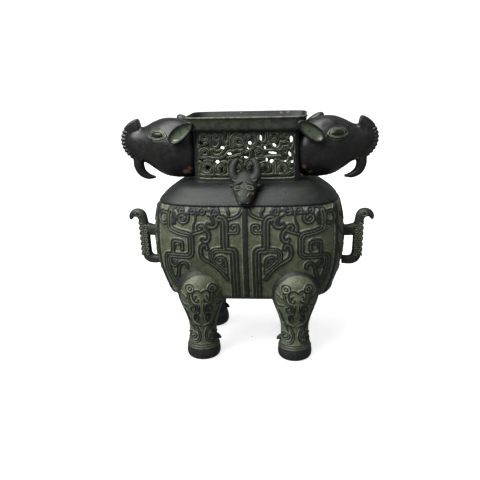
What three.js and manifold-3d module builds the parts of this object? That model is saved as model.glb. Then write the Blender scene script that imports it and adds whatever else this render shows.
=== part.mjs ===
// Bronze ding on four legs, with an openwork neck, two animal heads and two bird handles.
// Millimetres, +Z up, the front faces -Y, and the origin is on the ground under the middle.

import * as THREE from 'three';
import { mergeVertices } from 'three/addons/utils/BufferGeometryUtils.js';
import Module from 'manifold-3d';

const wasm = await Module();
wasm.setup();

// Body: a rounded rectangle in plan, whose sides are arcs from underside to shoulder
const bodyHalfWidth = 118;
const bodyHalfDepth = 72;
const bodyWall = 4;
const undersideHeight = 75.5;
const undersideCorner = 13;
const widestHeight = 150;
const sideArcHeight = 139;
const shoulderHeight = 191;
const ledgeHeight = 196;
const ledgeDepth = 1.2;
const neckFootHeight = 219;
const bodySquareness = 3.4;

// Neck and rim
const neckHalfWidth = 64;
const neckHalfDepth = 35;
const neckWall = 4;
const rimHalfWidth = 72.5;
const rimHalfDepth = 42;
const rimWall = 3.5;
const rimBandHeight = 14;
const rimTopHeight = 295;
const neckSquareness = 8;

// Pierced windows of the neck and their scrollwork
const windowHalfWidth = 56;
const windowFrame = 4.5;
const scrollWidth = 4.4;
const scrollDepth = 3.4;

// Raised ornament of the belly
const reliefHeight = 1.6;
const bandWidth = 7.4;
const curlWidth = 4.2;
const spineWidth = 4.6;

// Legs
const legSpacing = 115;
const legDepthSpacing = 100;
const domeRadius = 28.5;
const domeHeight = 96;
const domeTopHeight = 122;
const shankRadius = 17.2;
const shankHeight = 40;
const hoofRadius = 20.5;
const hoofHeight = 16;
const spurLength = 6;
const maskHeight = 1.5;

// Animal heads at the ends of the neck
const headReach = 158;
const headFit = 0.3;
const crescentDepth = 15;
const toothCount = 9;
const toothDepth = 1.6;

// Bird handles at the ends of the body
const handleReach = 136;
const handleWidth = 12.4;
const handleDepth = 13;
const handleFootHeight = 112;
const handleStubHeight = 150;
const handleHeadRise = 28.5;
const handleFit = 0.3;

// Ox heads on the shoulder
const oxFit = 0.3;

// Sheets that the ornament and the free forms are drawn on, at the sizes of the first casting
const bellySheet = { halfWidth: 118, low: 70.5, high: 191 };
const neckSheet = { halfWidth: 58.25, low: 216.25, high: 273.75 };
const legSheet = { halfWidth: 28.5, low: 0, high: 117 };
const headSheet = { near: 64, far: 158, halfDepth: 35, low: 214, high: 290 };
const oxSheet = { near: 35, far: 72, low: 191, high: 214 };

// Number of sides of round forms
const bodySides = 24;
const legSides = 10;
const headSides = 10;
const curlStep = 1.45;

const bronze = { color: 0x33362f, roughness: 0.5, metalness: 0.75 };
const darkBronze = { color: 0x3a3a38, roughness: 0.42, metalness: 0.8 };

const ding = new THREE.Group();
ding.name = 'ding';

// Closed form through rings of points, with a fan at each end
function loft(rings) {
  const count = rings[0].length;
  const positions = rings.flat().flatMap((point) => [point.x, point.y, point.z]);
  const faces = [];
  for (let ring = 0; ring + 1 < rings.length; ring += 1) {
    for (let side = 0; side < count; side += 1) {
      const next = (side + 1) % count;
      const a = ring * count + side;
      const b = ring * count + next;
      faces.push(a, b, b + count, a, b + count, a + count);
    }
  }
  [0, rings.length - 1].forEach((ring, end) => {
    const middle = new THREE.Vector3();
    rings[ring].forEach((point) => middle.addScaledVector(point, 1 / count));
    const tip = positions.length / 3;
    positions.push(middle.x, middle.y, middle.z);
    for (let side = 0; side < count; side += 1) {
      const a = ring * count + side;
      const b = ring * count + ((side + 1) % count);
      faces.push(...(end === 0 ? [b, a, tip] : [a, b, tip]));
    }
  });
  const geometry = new THREE.BufferGeometry();
  geometry.setAttribute('position', new THREE.Float32BufferAttribute(positions, 3));
  geometry.setIndex(faces);
  return geometry;
}

function toSolid(geometry) {
  const plain = geometry.clone();
  plain.deleteAttribute('normal');
  plain.deleteAttribute('uv');
  const merged = mergeVertices(plain, 1e-4);
  const solid = new wasm.Manifold(new wasm.Mesh({
    numProp: 3,
    vertProperties: new Float32Array(merged.attributes.position.array),
    triVerts: new Uint32Array(merged.index.array),
  }));
  return solid.volume() < 0 ? toSolid(flipped(merged)) : solid;
}

function flipped(geometry) {
  const turned = geometry.clone();
  const faces = Array.from(turned.index.array);
  for (let i = 0; i < faces.length; i += 3) {
    [faces[i], faces[i + 1]] = [faces[i + 1], faces[i]];
  }
  turned.setIndex(faces);
  return turned;
}

function toGeometry(solid) {
  const mesh = solid.getMesh();
  const geometry = new THREE.BufferGeometry();
  const corners = new Float32Array(mesh.numVert * 3);
  for (let i = 0; i < mesh.numVert; i += 1) {
    for (let axis = 0; axis < 3; axis += 1) {
      corners[3 * i + axis] = mesh.vertProperties[mesh.numProp * i + axis];
    }
  }
  geometry.setAttribute('position', new THREE.BufferAttribute(corners, 3));
  geometry.setIndex(new THREE.BufferAttribute(new Uint32Array(mesh.triVerts), 1));
  const flat = geometry.toNonIndexed();
  flat.computeVertexNormals();
  return flat;
}

function joinAll(solids) {
  return solids.reduce((whole, solid) => whole.add(solid)).asOriginal();
}

// The same form on the other side: a half turn about the upright axis
function halfTurn(geometry) {
  return geometry.clone().rotateZ(Math.PI);
}

// The mirror image across the middle plane X = 0
function mirrored(geometry) {
  return flipped(mergeVertices(stripped(geometry.clone().scale(-1, 1, 1)), 1e-4));
}

function stripped(geometry) {
  geometry.deleteAttribute('normal');
  geometry.deleteAttribute('uv');
  return geometry;
}

// Plan of the vessel at one height: half sizes and how square its corners are
function planPoint(angle, halfWidth, halfDepth, squareness, height) {
  const c = Math.cos(angle);
  const s = Math.sin(angle);
  const reach = (Math.abs(c) ** squareness + Math.abs(s) ** squareness) ** (-1 / squareness);
  return new THREE.Vector3(halfWidth * c * reach, halfDepth * s * reach, height);
}

function planRing(halfWidth, halfDepth, squareness, height) {
  const ring = [];
  for (let side = 0; side < bodySides; side += 1) {
    ring.push(planPoint((side * 2 * Math.PI) / bodySides, halfWidth, halfDepth, squareness, height));
  }
  return ring;
}

// Share of the full half width at one height of the belly
function bellyShare(height) {
  return Math.sqrt(1 - ((height - widestHeight) / sideArcHeight) ** 2);
}

function bellyHalfWidth(height) {
  return bodyHalfWidth * bellyShare(height);
}

function bellyHalfDepth(height) {
  return bodyHalfDepth - (bodyHalfWidth - bellyHalfWidth(height)) * 0.8;
}

// Stations up to the foot of the neck, as half width, half depth, height and squareness
function bodyStations(ledge) {
  const stations = [];
  const cornerTop = undersideHeight + undersideCorner;
  for (const turn of [0, 0.5, 1]) {
    const angle = (turn * Math.PI) / 2;
    const inset = undersideCorner * (1 - Math.sin(angle));
    const height = undersideHeight + undersideCorner * (1 - Math.cos(angle));
    const base = [bellyHalfWidth(cornerTop) - inset, bellyHalfDepth(cornerTop) - inset];
    stations.push([...base, height, bodySquareness]);
  }
  const steps = 3;
  for (let step = 1; step <= steps; step += 1) {
    const height = THREE.MathUtils.lerp(cornerTop, shoulderHeight, step / steps);
    stations.push([bellyHalfWidth(height), bellyHalfDepth(height), height, bodySquareness]);
  }
  if (ledge) {
    const [width, depth] = shoulderSize(0.08);
    stations.push([width, depth, ledgeHeight, bodySquareness]);
    stations.push([width + ledgeDepth, depth + ledgeDepth, ledgeHeight + ledgeDepth / 3, bodySquareness]);
  }
  for (const [inward, upward] of [[0.24, 0.5], [0.52, 0.82], [0.77, 0.95], [1, 1]]) {
    const height = THREE.MathUtils.lerp(shoulderHeight, neckFootHeight, upward);
    const squareness = THREE.MathUtils.lerp(bodySquareness, neckSquareness, inward ** 2);
    stations.push([...shoulderSize(inward), height, squareness]);
  }
  return stations;
}

// Half sizes at a share of the way in from the belly to the neck
function shoulderSize(inward) {
  return [
    THREE.MathUtils.lerp(bellyHalfWidth(shoulderHeight), neckHalfWidth, inward),
    THREE.MathUtils.lerp(bellyHalfDepth(shoulderHeight), neckHalfDepth, inward),
  ];
}

function stationRings(stations, inset) {
  return stations.map(([width, depth, height, squareness], i) => {
    const before = stations[Math.max(i - 1, 0)];
    const after = stations[Math.min(i + 1, stations.length - 1)];
    const slope = new THREE.Vector2(after[2] - before[2], before[0] - after[0]).normalize();
    const inward = inset * slope.x;
    return planRing(width - inward, depth - inward, squareness, height - inset * slope.y);
  });
}

function bodyOutside() {
  return toSolid(loft(stationRings(bodyStations(true), 0)));
}

function bodyInside() {
  const stations = bodyStations(false).filter((station, i) => i > 0 && i !== 6 && i !== 8);
  return toSolid(loft(stationRings(stations, bodyWall)));
}

// The belly grown by the height of its ornament
function bellySkin() {
  return toSolid(loft(stationRings(bodyStations(false), -reliefHeight)));
}

// Neck and rim as one closed block, narrow below and flared into the band on top
function neckOutside() {
  const bandFoot = rimTopHeight - rimBandHeight;
  const lip = 1.5;
  return neckBlock([
    [neckHalfWidth, neckHalfDepth, neckFootHeight - 2 * bodyWall],
    [neckHalfWidth, neckHalfDepth, bandFoot - 2],
    [rimHalfWidth - lip, rimHalfDepth - lip, bandFoot],
    [rimHalfWidth - lip, rimHalfDepth - lip, rimTopHeight - 2 * lip],
    [rimHalfWidth, rimHalfDepth, rimTopHeight - lip],
    [rimHalfWidth, rimHalfDepth, rimTopHeight],
  ]);
}

function neckInside() {
  const bandFoot = rimTopHeight - rimBandHeight;
  const flare = rimHalfWidth - rimWall - neckHalfWidth + neckWall;
  return neckBlock([
    [neckHalfWidth - neckWall, neckHalfDepth - neckWall, neckFootHeight - 2.5 * bodyWall],
    [neckHalfWidth - neckWall, neckHalfDepth - neckWall, bandFoot],
    [neckHalfWidth - neckWall + flare, neckHalfDepth - neckWall + flare, bandFoot + 5],
    [rimHalfWidth - rimWall, rimHalfDepth - rimWall, rimTopHeight + 1],
  ]);
}

function neckBlock(stations) {
  const rings = stations.map(([width, depth, height]) => planRing(width, depth, neckSquareness, height));
  return toSolid(loft(rings));
}

// Flat band along a line of the front view, from one depth to another
function flatBand(line, width, near, far) {
  const rings = line.map(([x, z], i) => {
    const [x0, z0] = line[Math.max(i - 1, 0)];
    const [x1, z1] = line[Math.min(i + 1, line.length - 1)];
    const side = new THREE.Vector2(z0 - z1, x1 - x0).normalize();
    const before = new THREE.Vector2(x - x0, z - z0).normalize();
    const after = new THREE.Vector2(x1 - x, z1 - z).normalize();
    const inner = i > 0 && i < line.length - 1;
    const mitre = inner ? Math.min(1.42, 1 / Math.max(Math.cos(before.angleTo(after) / 2), 0.5)) : 1;
    const half = (width / 2) * mitre;
    const left = [x + side.x * half, z + side.y * half];
    const right = [x - side.x * half, z - side.y * half];
    return [
      new THREE.Vector3(left[0], far, left[1]),
      new THREE.Vector3(right[0], far, right[1]),
      new THREE.Vector3(right[0], near, right[1]),
      new THREE.Vector3(left[0], near, left[1]),
    ];
  });
  return toSolid(loft(rings));
}

// Bands of a sheet moved to the real half width and heights
function fitted(bands, sheet, halfWidth, low, high) {
  const place = ([x, z]) => [
    (x * halfWidth) / sheet.halfWidth,
    low + ((z - sheet.low) * (high - low)) / (sheet.high - sheet.low),
  ];
  return bands.map(([line, width]) => [line.map(place), width]);
}

// Bands of a right half with their mirror images, as one flat pattern
function pattern(bands, near, far) {
  const right = joinAll(bands.map(([line, width]) => flatBand(line, width, near, far)));
  return right.add(toSolid(mirrored(toGeometry(right))));
}

// Points of a spiral from its open end into its middle
function spiral(x, z, radius, start, turns, endShare = 0.3) {
  const steps = Math.ceil((Math.abs(turns) * 2 * Math.PI) / curlStep);
  const points = [];
  for (let step = 0; step <= steps; step += 1) {
    const share = step / steps;
    const angle = start + turns * 2 * Math.PI * share;
    const reach = radius * THREE.MathUtils.lerp(1, endShare, share);
    points.push([x + reach * Math.cos(angle), z + reach * Math.sin(angle)]);
  }
  return points;
}

// Right half of one face of the belly: an outer and an inner dragon, as bands of the front view
function dragonBands() {
  const wide = [
    [[80, 182], [89.5, 177.5], [90, 156], [61, 155], [61, 127], [94, 126.5], [92.5, 109], [86, 98]],
    [[60, 187], [78, 187], [84, 180]],
    [[87, 130], [87, 146.5], [73.5, 146], [73.5, 135]],
    [[22.4, 181], [22.4, 137.5], [10.6, 136], [10.6, 79]],
    [[22, 137], [38.7, 137], [41, 127], [21.3, 103], [21.3, 126], [30, 127]],
  ];
  const thin = [
    [[67.6, 175], [69, 168.5], [78, 167.5], [81.6, 173]],
    [[89, 179], [100, 175], [100, 165], [92, 163]],
    [[57, 154.7], [45.5, 154.7], [43.2, 146], [47, 148.5]],
    [[88, 121], [79.5, 117], [68.5, 112]],
    [[30.2, 172], [32, 165.5], [41, 164.5], [44.2, 170]],
    [[21, 177], [10.6, 177], [5.4, 184]],
    [[20, 158], [7, 158], [7, 168.5], [12.5, 168.5]],
    [[44, 141.5], [52, 141.5], [52, 124], [29, 105]],
  ];
  const bands = [...wide.map((line) => [line, bandWidth]), ...thin.map((line) => [line, curlWidth])];
  return fitted(bands, bellySheet, bodyHalfWidth, undersideHeight, ledgeHeight);
}

// Ornament of one long side of the belly, cut to a thin skin over it
function bellyFace(bands) {
  const spine = flatBand([[0, undersideHeight + 8], [0, ledgeHeight + 1]], spineWidth, -2 * bodyHalfDepth, 0);
  return pattern(bands, -2 * bodyHalfDepth, -bodyHalfDepth / 3).add(spine).intersect(bellySkin());
}

// Right half of the scrollwork in a window
function scrollBands() {
  const curls = [
    spiral(8.5, 263, 7.4, 0.6, 0.9),
    spiral(28.5, 266, 6.4, -0.4, -0.9),
    spiral(48.5, 266, 6.8, 3.6, -0.9),
    spiral(8.5, 246.5, 7, 1.6, -0.9),
    spiral(30, 249, 8, 5.5, 0.9),
    spiral(48.5, 249, 7.4, 2.2, -0.9),
    spiral(9.5, 230.5, 8.4, 1.2, 0.9),
    spiral(29, 230, 8.4, 2.2, -0.9),
    spiral(47, 230, 8.4, 0.9, 0.9),
  ];
  const stems = [
    [[0, 275], [0, 217]],
    [[18.5, 275], [19.5, 217]],
    [[39, 275], [38, 217]],
    [[0, 254], [20, 239.5], [58, 240.5]],
    [[58, 257.5], [19, 257.5]],
  ];
  const bands = [...curls, ...stems].map((line) => [line, scrollWidth]);
  const frame = windowFrame / 2;
  const high = rimTopHeight - rimBandHeight - frame;
  return fitted(bands, neckSheet, windowHalfWidth + frame, neckFootHeight + frame, high);
}

// Openwork panel of the front of the neck
function scrollPanel() {
  const front = -neckHalfDepth + (neckWall - scrollDepth) / 2;
  return pattern(scrollBands(), front, front + scrollDepth);
}

function windowCut() {
  const bottom = neckFootHeight + windowFrame;
  const top = rimTopHeight - rimBandHeight - windowFrame;
  const cut = new THREE.BoxGeometry(2 * windowHalfWidth, 3 * neckHalfDepth, top - bottom);
  cut.translate(0, 0, (top + bottom) / 2);
  return toSolid(cut);
}

// Radius of a leg at one height
function legProfile() {
  return [
    [0, hoofRadius - 0.8],
    [2.5, hoofRadius + 0.9],
    [hoofHeight + 3, hoofRadius - 0.4],
    [hoofHeight + 6, hoofRadius - 2],
    [shankHeight + 4, shankRadius],
    [shankHeight + 24, shankRadius + 6],
    [domeHeight - 15, domeRadius - 1.6],
    [domeHeight, domeRadius],
    [domeHeight + 12, domeRadius - 4.5],
    [domeTopHeight - 6, domeRadius - 12],
    [domeTopHeight, domeRadius - 24],
  ];
}

function legBody(grown) {
  const rings = legProfile().map(([height, radius]) => {
    const ring = [];
    for (let side = 0; side < legSides; side += 1) {
      const angle = (side * 2 * Math.PI) / legSides;
      const reach = radius + grown;
      ring.push(new THREE.Vector3(reach * Math.cos(angle), reach * Math.sin(angle), height));
    }
    return ring;
  });
  return toSolid(loft(rings));
}

// Right half of the animal mask that covers the front of a leg
function maskBands() {
  const bands = [
    [[[12.4, 90.5], [8, 86], [12.6, 81.5], [17, 86], [12.4, 90.5]], 3],
    [[[0, 102], [15, 98], [22, 84]], 3.4],
    [[[0, 76], [8, 74]], 3],
    [[[18, 77], [18.5, 66], [12, 57]], 3.2],
    [[[0, 56], [9, 42], [4, 28]], 3.2],
    [[[1.2, 100], [1.2, 56]], 2.8],
  ];
  return fitted(bands, legSheet, domeRadius, 0, domeTopHeight);
}

function legRelief(bands) {
  return pattern(bands, -2 * domeRadius, -shankRadius / 2).intersect(legBody(maskHeight));
}

// Dewclaw: a small spur on the inner back of the shank, over the hoof
function legSpur() {
  const spur = new THREE.ConeGeometry(3.4, spurLength + 8, 5);
  spur.rotateZ(Math.PI / 2);
  spur.translate(-(shankRadius + spurLength / 2 - 1), 0, hoofHeight + 5);
  return toSolid(spur);
}

function legAt(side, end) {
  const bands = end < 0 ? maskBands() : maskBands().slice(-1);
  const whole = joinAll([legBody(0), legRelief(bands), legSpur()]);
  const geometry = side > 0 ? toGeometry(whole) : mirrored(toGeometry(whole));
  const turned = end > 0 ? mirrored(halfTurn(geometry)) : geometry;
  turned.translate((side * legSpacing) / 2, (end * legDepthSpacing) / 2, 0);
  return toSolid(turned);
}

function legs() {
  return joinAll([[-1, -1], [1, -1], [-1, 1], [1, 1]].map(([side, end]) => legAt(side, end)));
}

// The vessel is cast in one piece: body, neck, rim and legs
function makeVessel() {
  const back = bellyFace(dragonBands().filter(([, width]) => width === bandWidth));
  const faces = bellyFace(dragonBands()).add(toSolid(halfTurn(toGeometry(back))));
  const outside = joinAll([bodyOutside(), neckOutside(), faces, legs()]);
  const hollow = bodyInside().add(neckInside());
  const panel = scrollPanel();
  const panels = panel.add(toSolid(halfTurn(toGeometry(panel))));
  const pierced = outside.subtract(hollow).subtract(windowCut());
  return largestBody(pierced.add(panels));
}

// Drops the hairline slivers that crossing faces leave beside a solid
function largestBody(solid) {
  return solid.decompose().reduce((most, body) => (body.volume() > most.volume() ? body : most));
}

// Ring of an animal head: an ellipse across the X axis
function headRing(x, top, bottom, halfDepth) {
  const ring = [];
  const middle = (top + bottom) / 2;
  for (let side = 0; side < headSides; side += 1) {
    const angle = (side * 2 * Math.PI) / headSides;
    const y = halfDepth * Math.cos(angle);
    ring.push(new THREE.Vector3(x, y, middle + ((top - bottom) / 2) * Math.sin(angle)));
  }
  return ring;
}

function headSkull() {
  return toSolid(loft([
    headRing(headSheet.near, 276, 219, 27),
    headRing(headSheet.near + 4, 281, 215, 30),
    headRing(78, 284.5, 214.5, 31),
    headRing(90, 287.5, 214.5, 31),
    headRing(104, 287.5, 217.5, 28.5),
    headRing(116, 283.5, 224.5, 23),
    headRing(126, 278.5, 231.5, 18),
    headRing(134, 276, 235, 14.5),
    headRing(143, 274.5, 240, 11),
    headRing(149, 269, 246, 8),
  ]));
}

// Upturned crescent of the snout, with teeth along its front
function headCrescent() {
  const outline = [];
  const steps = 2 * toothCount;
  for (let step = 0; step <= steps; step += 1) {
    const angle = THREE.MathUtils.lerp(-1.02, 1.22, step / steps);
    const inward = step % 2 ? 0 : toothDepth;
    outline.push([129 + (29 - inward) * Math.cos(angle), 261 + 27.5 * Math.sin(angle)]);
  }
  outline.push([135.5, 285], [134, 276], [138, 262], [141, 246], [145, 241]);
  const shape = new THREE.Shape(outline.map(([x, z]) => new THREE.Vector2(x, z)));
  const plate = new THREE.ExtrudeGeometry(shape, { depth: crescentDepth, bevelEnabled: false });
  plate.rotateX(Math.PI / 2);
  plate.translate(0, crescentDepth / 2, 0);
  return toSolid(plate);
}

// Hooked lower jaw, swept with an oval section that thins towards its tip
function headHook() {
  const stations = [
    [137, 252, 8, 8.5], [138, 238, 7, 7.8], [138.2, 229, 6.6, 7], [134.7, 220.5, 5.6, 6],
    [127, 215.4, 4, 4.6], [118, 214, 1.5, 2],
  ];
  const sides = 6;
  const rings = stations.map(([x, z, halfWidth, halfDepth], i) => {
    const [x0, z0] = stations[Math.max(i - 1, 0)];
    const [x1, z1] = stations[Math.min(i + 1, stations.length - 1)];
    const side = new THREE.Vector2(z0 - z1, x1 - x0).normalize();
    const ring = [];
    for (let k = 0; k < sides; k += 1) {
      const angle = (k * 2 * Math.PI) / sides;
      const out = halfWidth * Math.cos(angle);
      ring.push(new THREE.Vector3(x + side.x * out, halfDepth * Math.sin(angle), z + side.y * out));
    }
    return ring;
  });
  return toSolid(loft(rings));
}

// Leaf-shaped ear, hollowed on its outer side
function headEar(side, tilt, lift) {
  const leaf = new THREE.SphereGeometry(1, 8, 5);
  leaf.scale(16.5, 6.5, 8.6);
  const dish = new THREE.SphereGeometry(1, 7, 4);
  dish.scale(13.5, 6, 6.2);
  dish.translate(0, side * 5, 0);
  const ear = toSolid(leaf).subtract(toSolid(dish));
  const placed = stripped(toGeometry(ear));
  placed.rotateY(tilt);
  placed.translate(79, side * 31, 272 + lift);
  return toSolid(placed);
}

function headEye(side) {
  const ball = new THREE.SphereGeometry(1, 6, 4);
  ball.scale(6.6, 3, 3.4);
  const lid = new THREE.TorusGeometry(7, 1.5, 3, 8);
  lid.rotateX(Math.PI / 2);
  lid.scale(1.25, 1, 0.72);
  return [ball, lid].map((form) => {
    form.rotateY(0.08);
    form.rotateZ(side * 0.3);
    form.translate(108, side * 25.5, 266.5);
    return toSolid(form);
  });
}

function makeHead() {
  const parts = [headSkull(), headCrescent(), headHook()];
  parts.push(headEar(-1, 0.62, 0), headEar(1, 0.9, 3));
  parts.push(...headEye(-1), ...headEye(1));
  const fit = new THREE.Matrix4();
  const long = (headReach - neckHalfWidth - headFit) / (headSheet.far - headSheet.near);
  const high = (rimTopHeight - neckFootHeight) / (headSheet.high - headSheet.low);
  fit.makeScale(long, neckHalfDepth / headSheet.halfDepth, high);
  const base = neckFootHeight - headSheet.low * high;
  fit.setPosition(headReach - headSheet.far * long, 0, base);
  return toSolid(toGeometry(joinAll(parts)).applyMatrix4(fit));
}

// Side outline of a bird handle: foot, shaft, curved neck and hooked beak
function handleOutline(wallLow, wallHigh) {
  const inner = handleReach - handleWidth / 2;
  const outer = handleReach + handleWidth / 2;
  const foot = handleFootHeight;
  const stub = handleStubHeight;
  const top = stub + handleHeadRise;
  const half = handleWidth * 0.4;
  return [
    [wallLow, foot - half], [inner, foot - half - 0.6], [outer - 3, foot - 3], [outer, foot + 3],
    [outer + 0.5, foot + 18], [outer + 1, stub + 7], [outer + 4.5, top - 13], [outer + 8, top - 10.5],
    [outer + 10.5, top - 15], [outer + 13, top - 12.5], [outer + 12.5, top - 7.5],
    [outer + 8, top - 3], [outer + 1, top], [inner + 5, top - 1.5], [inner + 1.5, top - 6],
    [inner + 1.5, top - 11.5], [inner + 0.5, stub + 8], [wallHigh, stub + 7], [wallHigh, stub - 7],
    [inner - 1, stub - 6], [inner + 0.5, stub - 9], [inner, foot + 15.5], [inner - 2, foot + 8.5],
    [inner - 7, foot + half], [wallLow, foot + half],
  ];
}

function makeHandle() {
  const embed = 3;
  const outline = handleOutline(
    bellyHalfWidth(handleFootHeight) - embed,
    bellyHalfWidth(handleStubHeight) - embed,
  );
  const shape = new THREE.Shape(outline.map(([x, z]) => new THREE.Vector2(x, z)));
  const bevel = 1.8;
  const bar = new THREE.ExtrudeGeometry(shape, {
    depth: handleDepth - 2 * bevel,
    bevelSize: bevel,
    bevelOffset: -bevel,
    bevelThickness: bevel,
    bevelSegments: 1,
  });
  bar.rotateX(Math.PI / 2);
  bar.translate(0, handleDepth / 2 - bevel, 0);
  const eyes = [-1, 1].map((side) => {
    const eye = new THREE.SphereGeometry(3, 6, 4);
    eye.scale(1, 0.5, 1);
    eye.translate(handleReach + 5.5, (side * handleDepth) / 2, handleStubHeight + handleHeadRise - 8);
    return toSolid(eye);
  });
  return joinAll([toSolid(bar), ...eyes]);
}

// Ox head: muzzle down the shoulder, horns curling up in front of the neck
function makeOxHead() {
  const lean = [
    [-42, 226, 7, 5], [-50, 222, 10.5, 7.5], [-56, 216, 13, 8.5], [-63, 209, 12.5, 8],
    [-69, 202.5, 8.5, 7], [-73.5, 197.5, 6.4, 5.6], [-75, 195, 4, 3.4],
  ];
  const sides = 8;
  const rings = lean.map(([y, z, halfWidth, halfDepth], i) => {
    const [y0, z0] = lean[Math.max(i - 1, 0)];
    const [y1, z1] = lean[Math.min(i + 1, lean.length - 1)];
    const out = new THREE.Vector2(z1 - z0, y0 - y1).normalize();
    const ring = [];
    for (let k = 0; k < sides; k += 1) {
      const angle = (k * 2 * Math.PI) / sides;
      const rise = halfDepth * Math.sin(angle);
      ring.push(new THREE.Vector3(halfWidth * Math.cos(angle), y + out.x * rise, z + out.y * rise));
    }
    return ring;
  });
  const horn = new THREE.CatmullRomCurve3([
    new THREE.Vector3(6, -53, 222), new THREE.Vector3(13, -54, 224),
    new THREE.Vector3(16.5, -52, 232), new THREE.Vector3(14, -49, 241),
    new THREE.Vector3(8, -47, 246),
  ]);
  const section = new THREE.Shape(spiral(0, 0, 2.6, 0, 0.8, 1).map(([x, y]) => new THREE.Vector2(x, y)));
  const hornRight = new THREE.ExtrudeGeometry(section, { steps: 5, extrudePath: horn });
  const right = [toSolid(hornRight)];
  [[9.2, -52, 222.5, 6.2], [8.4, -63.5, 213, 3.6]].forEach(([x, y, z, radius]) => {
    const bulb = new THREE.SphereGeometry(radius, 6, 4);
    bulb.translate(x, y, z);
    right.push(toSolid(bulb));
  });
  const half = joinAll(right);
  const whole = joinAll([toSolid(loft(rings)), half, toSolid(mirrored(toGeometry(half)))]);
  const deep = (bodyHalfDepth - neckHalfDepth) / (oxSheet.far - oxSheet.near);
  const high = (neckFootHeight - ledgeHeight) / (oxSheet.high - oxSheet.low);
  const fit = new THREE.Matrix4().makeScale(deep, deep, high);
  fit.setPosition(0, oxSheet.near * deep - neckHalfDepth, ledgeHeight - oxSheet.low * high);
  return toSolid(toGeometry(whole).applyMatrix4(fit));
}

function addPiece(name, geometry, look) {
  const piece = new THREE.Mesh(geometry, new THREE.MeshStandardMaterial(look));
  piece.name = name;
  ding.add(piece);
}

const vessel = makeVessel();

// What is joined on is cut back by the vessel, grown by the fit
function clearOfVessel(solid, gap) {
  const reach = [[gap, 0, 0], [-gap, 0, 0], [0, gap, 0], [0, -gap, 0], [0, 0, gap], [0, 0, -gap]];
  return largestBody(reach.reduce((left, shift) => left.subtract(vessel.translate(shift)), solid));
}

const head = toGeometry(clearOfVessel(makeHead(), headFit));
const handle = toGeometry(clearOfVessel(makeHandle(), handleFit));
const oxHead = toGeometry(clearOfVessel(makeOxHead(), oxFit));

addPiece('vessel', toGeometry(vessel), bronze);
addPiece('right_head', head, darkBronze);
addPiece('left_head', toGeometry(toSolid(mirrored(head))), darkBronze);
addPiece('right_handle', handle, bronze);
addPiece('left_handle', toGeometry(toSolid(mirrored(handle))), bronze);
addPiece('front_ox_head', oxHead, darkBronze);
addPiece('back_ox_head', halfTurn(oxHead), darkBronze);

export default ding;
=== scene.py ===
"""Bronze ding on four legs with an openwork neck, two beast heads, two bird handles and two ox heads.

Lengths are in millimetres up to add_mesh, which turns them into metres.
"""

import math

import bpy
import numpy as np
from mathutils import Matrix, Vector


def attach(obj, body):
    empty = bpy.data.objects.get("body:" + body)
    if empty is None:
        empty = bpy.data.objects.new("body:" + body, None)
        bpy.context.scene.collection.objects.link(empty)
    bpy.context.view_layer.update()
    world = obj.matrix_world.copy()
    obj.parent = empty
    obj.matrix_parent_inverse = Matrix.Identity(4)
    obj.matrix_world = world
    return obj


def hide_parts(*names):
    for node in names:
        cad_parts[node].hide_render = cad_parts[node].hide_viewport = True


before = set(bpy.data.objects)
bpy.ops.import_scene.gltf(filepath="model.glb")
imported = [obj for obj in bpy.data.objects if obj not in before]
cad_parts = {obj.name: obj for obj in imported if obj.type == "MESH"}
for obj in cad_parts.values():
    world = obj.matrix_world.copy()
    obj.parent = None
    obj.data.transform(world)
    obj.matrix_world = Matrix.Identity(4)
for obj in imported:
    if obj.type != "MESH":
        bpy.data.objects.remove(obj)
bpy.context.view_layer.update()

# Sizes in mm
BELLY_HALF_WIDTH, BELLY_HALF_DEPTH = 118.0, 72.0
BELLY_WIDEST, BELLY_ARC = 150.0, 139.0
UNDERSIDE, UNDERSIDE_CORNER = 75.5, 13.0
SHOULDER, LEDGE, LEDGE_OUT = 191.0, 196.0, 1.2
NECK_FOOT, NECK_HALF_WIDTH, NECK_HALF_DEPTH = 219.0, 64.0, 35.0
RIM_TOP, RIM_BAND, RIM_HALF_WIDTH, RIM_HALF_DEPTH = 295.0, 14.0, 72.5, 42.0
RIM_FOOT = RIM_TOP - RIM_BAND
PANEL_HALF, WINDOW_HALF = 60.5, 59.4
BODY_SQUARE, NECK_SQUARE = 3.4, 8.0
WALL, RIM_WALL = 4.0, 3.5
RELIEF = 1.6
PATTERN_FOOT, FACE_REACH, END_REACH = 80.0, 109.0, 50.0
LEG_X, LEG_Y = 57.5, 50.0
HOOF_TOP = 20.5
LEG_TOP = 122.0
# Height and radius of a leg
LEG_PROFILE = [
    (0, 17.4), (1.2, 19.2), (3.5, 20.6), (7, 21.2), (12, 20.8), (16, 19.8), (20, 18.4), (25, 17.5),
    (34, 17.1), (43, 17.4), (50, 18.8), (58, 21.2), (66, 24.2), (74, 26.6), (82, 28.1), (90, 28.6),
    (96, 28.5), (102, 27.3), (108, 24.2), (112, 20.8), (116, 16.5), (119.5, 11), (LEG_TOP, 4.5),
]
# The heads, the handles, the ox heads and the end scrolls are drawn this much too low
LIFT = 5.0


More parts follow.
